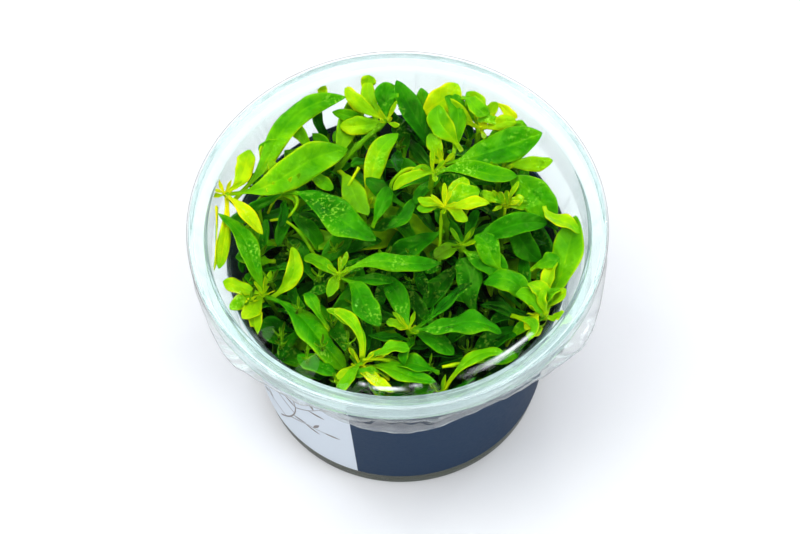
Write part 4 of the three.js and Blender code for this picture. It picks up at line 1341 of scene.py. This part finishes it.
def stands_by_wall(spot):
    """Whether a shoot stands near the wall at the back or the left, where the shorter ones grow taller."""
    behind, left = spot[1] > WALL_SIDE_FRONT, spot[0] < WALL_SIDE_RIGHT
    return np.linalg.norm(spot) > WALL_SIDE_RADIUS and (behind or left)


def short_shoots():
    """The paths of the shorter shoots: a hexagonal set-out, nudged, and thinned beside the main ones."""
    rng = np.random.default_rng(SET_OUT_SEED)
    taken = [np.array(path[0][:2], dtype=float) * MAIN_SPREAD for path, _, _ in SHOOTS.values()]
    paths = []
    for row, col in itertools.product(range(-EXTRA_ROWS, EXTRA_ROWS + 1), repeat=2):
        spot = np.array([(col + 0.5 * (row % 2)) * EXTRA_SPACING, row * EXTRA_SPACING * EXTRA_ROW_PITCH])
        spot += rng.uniform(-EXTRA_NUDGE, EXTRA_NUDGE, 2)
        top = rng.uniform(*(WALL_SIDE_TOPS if stands_by_wall(spot) else EXTRA_TOPS))
        lean = rng.uniform(-EXTRA_LEAN, EXTRA_LEAN, 2)
        if np.linalg.norm(spot) > EXTRA_REACH:
            continue
        if min(np.linalg.norm(spot - other) for other in taken) < EXTRA_CLEARANCE:
            continue
        paths.append([np.array([*(spot * EXTRA_FOOT_REACH), STEM_FOOT]),
                      np.array([*spot, top * EXTRA_BEND_HEIGHT]),
                      np.array([*(spot * EXTRA_TOP_REACH + lean), top])])
    return paths


def make_short_stems(paths):
    """Two joined pieces, each with every other short stem."""
    for kind in range(2):
        parts = Parts()
        for number in range(kind, len(paths), 2):
            path = paths[number]
            parts.add(*stem_surface(path, STEM_RADIUS * SHORT_STEM_SIZE, *SHORT_STEM_YOUTH,
                                    SHORT_STEM_SEED + number, steps=16, sides=8))
            seed = SHORT_BUD_SEED + BUD_SEED_STEP * number
            add_bud(parts, curve_point(path, 1), SHORT_BUD_YOUTH, seed, SHORT_BUD_SIZE)
        parts.piece(f"short_shoots_{kind + 1}", stem_tissue, "young_shoot")


# Leaves that fill the clump below the top ones

def turned_axes(roll, pitch, heading):
    """The rotation that Geometry Nodes makes from the three turns, in radians."""
    cr, sr, cp, sp, ch, sh = (f(v) for v in (roll, pitch, heading) for f in (math.cos, math.sin))
    about_x = np.array([[1, 0, 0], [0, cr, -sr], [0, sr, cr]])
    about_y = np.array([[cp, 0, sp], [0, 1, 0], [-sp, 0, cp]])
    about_z = np.array([[ch, -sh, 0], [sh, ch, 0], [0, 0, 1]])
    return about_z @ about_y @ about_x


def growing_points(stems, rng):
    """Places for pairs of leaves up every stem, the highest first: height, share, stem and heading."""
    places = []
    for stem in stems:
        top, heading = stem[-1][2], rng.uniform(0, 2 * math.pi)
        z = LOWER_START + rng.uniform(0, LOWER_STEP)
        while z < top - 1.0:
            places.append((z, (z - stem[0][2]) / (top - stem[0][2]), stem, heading))
            heading += math.pi / 2 + rng.uniform(-LOWER_TURN, LOWER_TURN)
            z += LOWER_STEP * rng.uniform(*VARIES)
    return sorted(places, key=lambda place: -place[0])


def has_room(spots):
    """Whether a filling leaf is inside the cup, low enough, and clear of every leaf so far."""
    reach = np.array([inner_radius(z) for z in spots[:, 2]]) - FILL_WALL_GAP
    inside = np.hypot(spots[:, 0], spots[:, 1]) < reach
    return inside.all() and spots[:, 2].max() < FILL_CEILING and crowd.clear(spots, FILL_GAP)


def fill_leaves(stems):
    """Crossed pairs up every stem where there is room: place, turns, length and tone of each leaf, the tone
    darker as painted shade the deeper it stands.
    """
    rng = np.random.default_rng(GROWTH_SEED)
    midline = bow(np.zeros(3), np.array([PATTERN_LENGTH, 0, 0]), PATTERN_ARCH, 0)
    pattern = crowd.sample(midline, PATTERN_LENGTH * FILL_SLIMNESS) / PATTERN_LENGTH
    pattern[:, 0] = np.clip(pattern[:, 0], crowd.ALONG[0], 1)
    rows = []
    for _, share, stem, heading in growing_points(stems, rng):
        base = curve_point(stem, share)
        for side in range(2):
            for attempt in range(FILL_TRIES):
                spread = FILL_SPREAD + FILL_SPREAD_GAIN * attempt
                turns = (rng.uniform(-FILL_ROLL, FILL_ROLL), -rng.uniform(0.0, FILL_PITCH),
                         heading + math.pi * side + rng.uniform(-spread, spread))
                length = rng.uniform(*FILL_LENGTHS) * (1 - FILL_SHORTER * attempt)
                spots = base + (pattern * length) @ turned_axes(*turns).T
                if has_room(spots):
                    crowd.add(spots)
                    # Painted shade: the tone darkens the lower the leaf's tip stands
                    paler = FILL_PALER * (spots[-1][2] - FILL_DARK_LEVEL) / FILL_PALE_RISE
                    tone = FILL_DARK + paler + rng.uniform(*FILL_TONE_VARIES)
                    rows.append((*base, *turns, length, max(tone, FILL_DARKEST)))
                    break
    return np.array(rows)


def make_upper_fill(rows):
    """The filling leaves that can be seen well, each with a form of its own."""
    parts = Parts()
    for index, (x, y, z, roll, pitch, heading, length, tone) in enumerate(rows):
        base = np.array([x, y, z])
        axes = turned_axes(roll, pitch, heading)
        tip = base + axes @ np.array([length, 0, 0])
        middle = (base + tip) / 2 + axes @ np.array([0, 0, FILL_ARCH * length])
        parts.add_leaf((base, middle, tip), FILL_SLIMNESS * length, math.degrees(roll), tone,
                       Style(FILL_SEED + index, FILL_LIVELY), rows=26, cols=8)
    parts.piece("upper_leaves", leaf_tissue, "leaf")


def named_input(tree, kind, name):
    """The points' own values under a name, in a Geometry Nodes tree."""
    made = tree.node("GeometryNodeInputNamedAttribute", data_type=kind, Name=name)
    return next(socket for socket in made.outputs if socket.enabled and socket.name == "Attribute")


def leaf_scatter_tree():
    """Sets one leaf on every point, turned and sized by the point's own values, and makes it real mesh."""
    group = bpy.data.node_groups.new("leaves along stems", "GeometryNodeTree")
    inputs = {"Geometry": "Geometry", "Leaf": "Object", "Size": "Float", "Tissue": "Material"}
    for label, kind in inputs.items():
        group.interface.new_socket(label, in_out="INPUT", socket_type=f"NodeSocket{kind}")
    group.interface.new_socket("Geometry", in_out="OUTPUT", socket_type="NodeSocketGeometry")
    tree = Tree(group)
    given = tree.node("NodeGroupInput").outputs
    leaf = tree.node("GeometryNodeObjectInfo", Object=given["Leaf"]).outputs["Geometry"]
    placed = tree.node("GeometryNodeInstanceOnPoints", Points=given["Geometry"], Instance=leaf,
                       Rotation=named_input(tree, "FLOAT_VECTOR", "turned"),
                       Scale=tree.times(named_input(tree, "FLOAT", "long"), given["Size"]))
    real = tree.node("GeometryNodeRealizeInstances", Geometry=placed.outputs[0])
    coloured = tree.node("GeometryNodeSetMaterial", Geometry=real.outputs[0], Material=given["Tissue"])
    tree.node("NodeGroupOutput", Geometry=coloured.outputs[0])
    return group


def run_nodes(piece, tree, **values):
    """Applies a Geometry Nodes tree with its named inputs and leaves a plain mesh."""
    modifier = piece.modifiers.new("nodes", "NODES")
    modifier.node_group = tree
    for item in tree.interface.items_tree:
        if item.in_out == "INPUT" and item.name in values:
            modifier[item.identifier] = values[item.name]
    bpy.context.view_layer.update()
    result = bpy.data.meshes.new_from_object(piece.evaluated_get(bpy.context.evaluated_depsgraph_get()))
    piece.modifiers.remove(modifier)
    piece.data = result


def pattern_leaf(seed, bend):
    """A leaf one unit long along +X, for setting out; it is removed once it has been used."""
    controls = bow(np.zeros(3), np.array([PATTERN_LENGTH, 0, 0]), bend, 0)
    width = PATTERN_LENGTH * FILL_SLIMNESS
    verts, faces, uv, _ = leaf_surface(controls, width, 0, 0, Style(seed), rows=7, cols=4)
    mesh = bpy.data.meshes.new("pattern leaf")
    mesh.from_pydata((verts / PATTERN_LENGTH).tolist(), [], faces)
    set_blade_map(mesh, uv)
    set_smooth(mesh)
    return new_object("pattern leaf", mesh)


def make_lower_leaves(places):
    """The rest of the filling leaves, in three pieces that are set out from a pattern leaf each."""
    tree = leaf_scatter_tree()
    for kind in range(PATTERNS):
        rows = places[kind::PATTERNS]
        mesh = bpy.data.meshes.new(f"lower_leaves_{kind + 1}")
        mesh.from_pydata((rows[:, :3] * MM).tolist(), [], [])
        turned = mesh.attributes.new("turned", "FLOAT_VECTOR", "POINT")
        turned.data.foreach_set("vector", rows[:, 3:6].astype(np.float32).ravel())
        set_values(mesh, long=rows[:, 6], youth=rows[:, 7])
        piece = new_object(mesh.name, mesh)
        pattern = pattern_leaf(PATTERN_SEED + kind, PATTERN_BEND - PATTERN_BEND_STEP * kind)
        run_nodes(piece, tree, Leaf=pattern, Size=MM, Tissue=leaf_tissue)
        bpy.data.objects.remove(pattern)
        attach(piece, "root")


# Film

FILM_TURNS = 576
MOUTH_FILM_EDGE = 49.2
GLINTS_FROM = 29
GLINT_RISE = 0.28
# How white the painted highlight along the bright folds is
GLINT_HIGHLIGHT = 0.55
# Folds that catch the light near the front edge, with their highlight painted white into the film: points (x,
# y), half width
GLINTS = (
    (((-11.9, -41.9), (-6.1, -44.2), (-0.5, -44.6), (5.9, -43.5)), 0.4),
    (((12.0, -42.4), (20.1, -38.9), (26.0, -34.9), (30.1, -31.4)), 0.65),
)
# Where the film stands off the rim: middle angle, half spread, how far out
FLARES = ((-36, 22, 2.6), (-141, 16, 1.6), (62, 12, 0.6))
# Height of the hem round the cup, as (angle, height)
HEM_LINE = ((-180, 48), (-150, 46.5), (-125, 43), (-110, 39), (-95, 37.5), (-80, 38.2), (-66, 40.4),
            (-50, 38), (-34, 33.5), (-16, 30), (4, 34), (30, 42), (60, 47), (100, 49), (140, 49), (180, 48))
HEM_SMOOTHING = (-6, -3, 0, 3, 6)
# Where the hem hangs clear of the wall: middle angle, half spread, how far out
LOOSE_TAILS = ((-18, 24, 3.0), (-150, 16, 1.2))
# White creases of the drawn-in film, their white a painted highlight: angle, height, half length, lean in
# radians
CREASES = ((-47, 40, 2.0, 0.5), (-44, 37.4, 1.3, -0.9), (-40, 35.5, 1.6, 1.0), (-52, 42.5, 1.8, 0.3),
           (-60, 44, 2.2, 0.15), (-31, 46, 1.8, 0.8), (-27, 40, 2.6, 1.3), (-36, 54, 1.6, 0.9),
           (-22, 56, 1.8, 0.6), (-18, 38, 2.4, 1.2), (-78, 46, 2.6, 0.1), (-130, 50, 2.0, -0.7),
           (-141, 48, 2.4, -1.1), (-43, 60, 2.2, 0.9), (-39, 62, 1.6, 0.4), (-36, 61, 2.6, 0.8),
           (-31, 62, 1.6, 1.1), (-34, 64.6, 1.8, 0.2))
CREASE_HALF_WIDTH = 0.3
CREASE_HIGHLIGHT = 0.9
CREASE_RISE = 0.25
CRUMPLES = 60
FILM_VEIL_LEVEL = 0.02
# Waves round the cup, as (size, how many, phase)
PUCKER = ((0.06, 23, 1.7), (0.04, 41, 0.4))
RAGGED_EDGE = ((0.9, 5, 0.5), (0.8, 11, 2.2), (0.5, 29, 0), (0.35, 63, 1.0))
# The pucker starts at one radius and is full after a span
PUCKER_FROM = 30.0
PUCKER_SPAN = 18.0
# Over the rim's outside
SKIRT_GAP = 0.03
SKIRT_PLEAT = 0.05
SKIRT_CRUMPLE = 0.12
# Under the rim: the share of the way down from which the film hugs the wall, and how much that calms it
HUG_FROM = 0.7
HUG_SPAN = 0.3
HUG_CALM = 0.7
HUG_WHITE = 0.02
PLEAT_DEPTH = 0.42
CRUMPLE_DEPTH = 0.16
RAGGED_DEPTH = 0.4
RIDGE_HIGHLIGHT = 0.7
WHITEST = 0.95


def degrees_from(angle, middle):
    """How far each angle is from a middle one, in degrees, the short way round."""
    return (np.degrees(angle) - middle + 180) % 360 - 180


def swell_at(angle, swells):
    """The sum of soft swells round the cup, each with a middle angle, a half spread and a size."""
    total = np.zeros_like(angle)
    for middle, spread, reach in swells:
        total += reach * np.exp(-((degrees_from(angle, middle) / spread) ** 2) * 2)
    return total


def glint_at(x, y):
    """How strongly each place lies on one of the bright folds, tapering to both of its ends."""
    total = np.zeros_like(x)
    for points, half_width in GLINTS:
        path = [np.array([*point, 0.0]) for point in points]
        for share in np.linspace(0, 1, 60):
            spot = curve_point(path, share)
            width = half_width * (0.12 + math.sin(math.pi * share) ** 0.8)
            near = np.exp(-((x - spot[0]) ** 2 + (y - spot[1]) ** 2) / (0.5 * width) ** 2)
            total = np.maximum(total, near * math.sin(math.pi * (0.04 + 0.92 * share)) ** 0.4)
    return total


def crease_at(angle, height):
    """How strongly each place of the drawn-in film lies on one of its creases, where a white highlight is
    painted.
    """
    total = np.zeros_like(angle)
    for middle, level, half_length, lean in CREASES:
        away = np.radians(degrees_from(angle, middle)) * HEM_RADIUS
        rise = height - level
        along = away * math.cos(lean) + rise * math.sin(lean)
        across = rise * math.cos(lean) - away * math.sin(lean) + 0.25 * np.sin(2.1 * along)
        total = np.maximum(total, np.exp(-(along / half_length) ** 2 - (across / CREASE_HALF_WIDTH) ** 2))
    return total


def hem_height(angle):
    """The height of the hem at each angle, as a soft line through the points of HEM_LINE."""
    turns = np.degrees(angle + np.pi) % 360 - 180
    marks, heights = np.array(HEM_LINE, dtype=float).T
    return sum(np.interp(turns + shift, marks, heights) for shift in HEM_SMOOTHING) / len(HEM_SMOOTHING)


def waves(angle, rows):
    """The sum of sine waves round the cup."""
    return sum(size * np.sin(count * angle + phase) for size, count, phase in rows)


class Folds:
    """How loose, pleated, crumpled and ragged the film is at each angle round the cup."""

    def __init__(self, angle):
        self.flare = swell_at(angle, FLARES)
        self.loose = 0.35 + 0.5 * self.flare
        self.hem_drop = SKIRT_END - hem_height(angle)
        self.standoff = HEM_STANDOFF + swell_at(angle, LOOSE_TAILS)
        self.pleat = (np.sin(17 * angle + 0.9 * np.sin(3 * angle))
                      + 0.7 * np.sin(31 * angle + 2.0 + np.sin(5 * angle))
                      + 0.5 * np.sin(57 * angle + 0.6))
        self.ragged = waves(angle, RAGGED_EDGE)
        self.crumple, self.ridges = 0 * angle, 0 * angle
        self.crush(angle)

    def crush(self, angle):
        """Sharp crumples at random angles, and a bright ridge along each, its brightness a painted highlight.
        """
        rng = np.random.default_rng(CRUMPLE_SEED)
        for _ in range(CRUMPLES):
            middle, spread = rng.uniform(0, 2 * np.pi), rng.uniform(0.004, 0.02)
            away = (angle - middle + np.pi) % (2 * np.pi) - np.pi
            self.crumple = self.crumple + rng.uniform(-1.4, 1.4) * np.exp(-((away / spread) ** 2))
            self.ridges = self.ridges + rng.uniform(0, 1) * np.exp(-((away / (0.6 * spread)) ** 2))


def mouth_rings(angle):
    """Over the mouth: flat, a little puckered towards the rim, with the bright folds raised and their
    highlight painted white.
    """
    pucker = waves(angle, PUCKER)
    rings = []
    for radius in np.concatenate([np.linspace(3.0, 28.0, 6), np.linspace(29.5, MOUTH_FILM_EDGE, 32)]):
        edge = np.clip((radius - PUCKER_FROM) / PUCKER_SPAN, 0, 1) ** 2
        x, y = radius * np.cos(angle), radius * np.sin(angle)
        glint = glint_at(x, y) if radius > GLINTS_FROM else 0 * angle
        height = FILM_LEVEL + edge * pucker + GLINT_RISE * glint
        rings.append((radius + 0 * angle, height, GLINT_HIGHLIGHT * glint))
    return rings


def shoulder_rings(angle):
    """Round the rim's outer edge, as a quarter turn."""
    zero = 0 * angle
    rings = []
    for share in np.linspace(0.15, 1.0, 5):
        turn = share * math.pi / 2
        drop = FILM_SHOULDER * (1 - math.cos(turn))
        radius = MOUTH_FILM_EDGE + FILM_SHOULDER * math.sin(turn)
        rings.append((radius + zero, FILM_LEVEL - drop + zero, zero))
    return rings


def skirt_rings(angle, folds):
    """Down the rim's outside, standing off it where the film is loose."""
    rings = []
    for share in np.linspace(0.1, 1.0, 11):
        z = (FILM_LEVEL - FILM_SHOULDER + share * (SKIRT_END - FILM_LEVEL + FILM_SHOULDER)
             + SKIRT_CRUMPLE * share * folds.crumple)
        radius = FILM_RADIUS + SKIRT_GAP + folds.flare * share ** 1.5 + SKIRT_PLEAT * share * folds.pleat
        # Haze, with the painted highlight of the creases
        rings.append((radius, z, FILM_VEIL_LEVEL + CREASE_HIGHLIGHT * crease_at(angle, z)))
    return rings


def hem_rings(angle, folds):
    """Drawn in under the rim, then down the wall to the ragged hem."""
    start = FILM_RADIUS + folds.flare
    near_drop = np.minimum(folds.hem_drop, SKIRT_END - HEM_END)
    # Painted highlight along the crumples' ridges, stronger where the film flares
    ridged = np.clip(folds.ridges, 0, 1) * np.clip(0.12 + 0.5 * folds.flare, 0, WHITEST)
    rings = []
    for share in np.concatenate([np.linspace(0.06, 0.7, 13), np.linspace(0.72, 0.985, 18), [1.0]]):
        hug = max(0.0, (share - HUG_FROM) / HUG_SPAN)
        swing = PLEAT_DEPTH * folds.pleat + CRUMPLE_DEPTH * folds.loose * folds.crumple
        fold = math.sin(math.pi * share) * swing * (1 - HUG_CALM * hug)
        depth = (SKIRT_END - near_drop * share - (folds.hem_drop - near_drop) * hug
                 + RAGGED_DEPTH * folds.ragged * share)
        loose_radius = start + (HEM_RADIUS - start) * share ** (1.5 + 0.1 * folds.flare)
        drawn = loose_radius * (1 - hug) + (wall_radius(depth) + folds.standoff) * hug
        ridge = ridged * math.sin(math.pi * (0.15 + 0.8 * share)) ** 2
        # The hem's edge gets a dashed white line, a painted highlight
        hem = 1.0 if share == 1 else 0.1 if share > 0.9 else 0.0
        # The creases' painted highlight
        white = crease_at(angle, depth)
        veil = (FILM_VEIL_LEVEL + HUG_WHITE * hug + RIDGE_HIGHLIGHT * ridge
                + hem * (0.7 + 0.3 * np.sin(37 * angle)) + CREASE_HIGHLIGHT * white)
        rings.append((drawn + fold + CREASE_RISE * white, depth, np.clip(veil, 0, WHITEST)))
    return rings


def film_faces(count):
    """Faces of the closed sheet: a number of rings outside, as many inside, then the two middle points."""
    last = (count - 1) * FILM_TURNS
    offset = count * FILM_TURNS
    top_centre, low_centre = 2 * offset, 2 * offset + 1
    faces = []
    for step in range(FILM_TURNS):
        after = (step + 1) % FILM_TURNS
        faces.append((top_centre, step, after))
        faces.append((low_centre, offset + after, offset + step))
        for here in range(0, last, FILM_TURNS):
            there = here + FILM_TURNS
            faces.append((here + step, there + step, there + after, here + after))
            within = (here + step, here + after, there + after, there + step)
            faces.append(tuple(offset + index for index in within))
        faces.append((last + step, offset + last + step, offset + last + after, last + after))
    return faces


def make_film():
    """One closed sheet: over the mouth, round the rim, down the skirt and drawn in to a ragged hem."""
    angle = np.linspace(0, 2 * np.pi, FILM_TURNS, endpoint=False)
    folds = Folds(angle)
    rings = mouth_rings(angle) + shoulder_rings(angle)
    rings += skirt_rings(angle, folds) + hem_rings(angle, folds)
    radius, height, milky = (np.array(values) for values in zip(*rings))
    outer = np.stack([radius * np.cos(angle), radius * np.sin(angle), height], axis=-1)
    normal = np.cross(np.gradient(outer, axis=0), np.roll(outer, -1, axis=1) - np.roll(outer, 1, axis=1))
    normal /= np.linalg.norm(normal, axis=-1, keepdims=True)
    inner = outer - FILM * normal
    centres = [[0, 0, FILM_LEVEL], [0, 0, FILM_LEVEL - FILM]]
    verts = np.vstack([outer.reshape(-1, 3), inner.reshape(-1, 3), centres])
    add_piece("film_cover", verts, film_faces(len(rings)), clear_film, "clear_film", ("sealing_film",),
              milky=np.concatenate([milky.ravel(), milky.ravel(), [0, 0]]))


# Stage, lights and camera; places and sizes are in metres

FLOOR_REACH = 3.0
FLOOR_TONES = ((0.9, 0.905, 0.925), (0.91, 0.915, 0.93))
SURROUND = (0.93, 0.95, 1.0)
SURROUND_STRENGTH = 0.69
# How much darker mirror reflections see it, and through how many clear walls at most
MIRROR_DIMMING = 0.63
DIMMED_THROUGH = 4.5
WHITE = (1.0, 1.0, 1.0)
# Area lights: place, target, size, power in watts, colour
LIGHTS = {
    "key": ((-0.4, -0.05, 0.7), (0, 0, 0.03), (0.45, 0.45), 2.1, (1.0, 0.99, 0.97)),
    "fill": ((0.5, -0.35, 0.6), (0, 0, 0.03), (0.4, 0.4), 1.7, WHITE),
    "top": ((0.05, 0.12, 0.9), (0, 0, 0.05), (0.5, 0.4), 1.6, WHITE),
    "glint 1": ((0.1, 0.62, 0.7), (0, 0, 0.06), (0.05, 0.05), 0.32, WHITE),
    "glint 2": ((-0.5, 0.34, 0.62), (0, 0, 0.06), (0.05, 0.05), 0.32, WHITE),
    "glint 3": ((0.5, 0.4, 0.6), (0, 0, 0.06), (0.05, 0.05), 0.32, WHITE),
}
CLIP_START = 0.01


def make_stage():
    floor_material, tree, shader = new_material("pale floor")
    grain = tree.use(fine_grain, Grain_scale=FLOOR_SCALE)["Grain"]
    tree.set_up(shader, Base_Color=tree.mix(grain, *FLOOR_TONES), Roughness=0.95, Specular_IOR_Level=0.0)
    mesh = bpy.data.meshes.new("floor")
    corners = [(x * FLOOR_REACH, y * FLOOR_REACH, 0) for x, y in ((-1, -1), (1, -1), (1, 1), (-1, 1))]
    mesh.from_pydata(corners, [], [(0, 1, 2, 3)])
    mesh.materials.append(floor_material)
    floor = new_object("floor", mesh)


def add_light(name, place, target, size, power, colour):
    light = bpy.data.lights.new(name, "AREA")
    light.shape = "RECTANGLE"
    light.size, light.size_y = size
    light.energy = power
    light.color = colour
    lamp = new_object(name, light)
    lamp.location = place
    lamp.rotation_euler = (Vector(target) - Vector(place)).to_track_quat("-Z", "Y").to_euler()


def make_surround():
    """A bright white surround that mirror reflections of its upper part see as dim."""
    world = bpy.data.worlds.new("studio")
    bpy.context.scene.world = world
    world.use_nodes = True
    tree = Tree(world.node_tree)
    path = tree.node("ShaderNodeLightPath").outputs
    mirrored = tree.times(path["Is Glossy Ray"], tree.minus(1.0, path["Is Transmission Ray"]))
    shallow = tree.maths("LESS_THAN", path["Transmission Depth"], DIMMED_THROUGH)
    bounced = tree.times(tree.maths("MINIMUM", path["Glossy Depth"], 1.0), shallow)
    direction = tree.node("ShaderNodeTexCoord").outputs["Generated"]
    upward = tree.node("ShaderNodeSeparateXYZ", Vector=direction).outputs[2]
    overhead = tree.ramp(upward, ((0.12, 0), (0.5, 1)))
    dimmed = tree.times(tree.times(tree.maths("MAXIMUM", mirrored, bounced), MIRROR_DIMMING), overhead)
    tree.set_up(tree.nodes["Background"], Color=SURROUND, Strength=tree.minus(SURROUND_STRENGTH, dimmed))


def make_lights():
    make_surround()
    for name, settings in LIGHTS.items():
        add_light(name, *settings)


def make_camera():
    down, roll = math.radians(CAMERA_DOWN), math.radians(CAMERA_ROLL)
    forward = Vector((0, math.cos(down), -math.sin(down)))
    right = Vector((1, 0, 0))
    up = right.cross(forward)
    tilted_right = math.cos(roll) * right + math.sin(roll) * up
    tilted_up = -math.sin(roll) * right + math.cos(roll) * up
    camera = bpy.data.cameras.new("camera")
    camera.lens = LENS
    camera.sensor_width = SENSOR
    camera.clip_start = CLIP_START
    holder = new_object("camera", camera)
    turn = Matrix((tilted_right, tilted_up, -forward)).transposed().to_4x4()
    holder.matrix_world = Matrix.Translation(Vector(CAMERA_PLACE) * MM) @ turn
    bpy.context.scene.camera = holder


# The whole scene

make_camera()
make_lights()
make_stage()
bpy.context.scene.view_settings.view_transform = "Standard"

make_cup()
make_gel()
make_film()
make_label()
make_sprig()
make_shoots()
make_large_leaves()
make_small_leaves()
make_bare_stalks()
extra_paths = short_shoots()
make_short_stems(extra_paths)
fill = fill_leaves([stem_points(path) for path, _, _ in SHOOTS.values()] + extra_paths)
fine = fill[:, 2] + fill[:, 6] * np.sin(-fill[:, 4]) > FINE_FILL_LEVEL
make_upper_fill(fill[fine])
make_lower_leaves(fill[~fine])
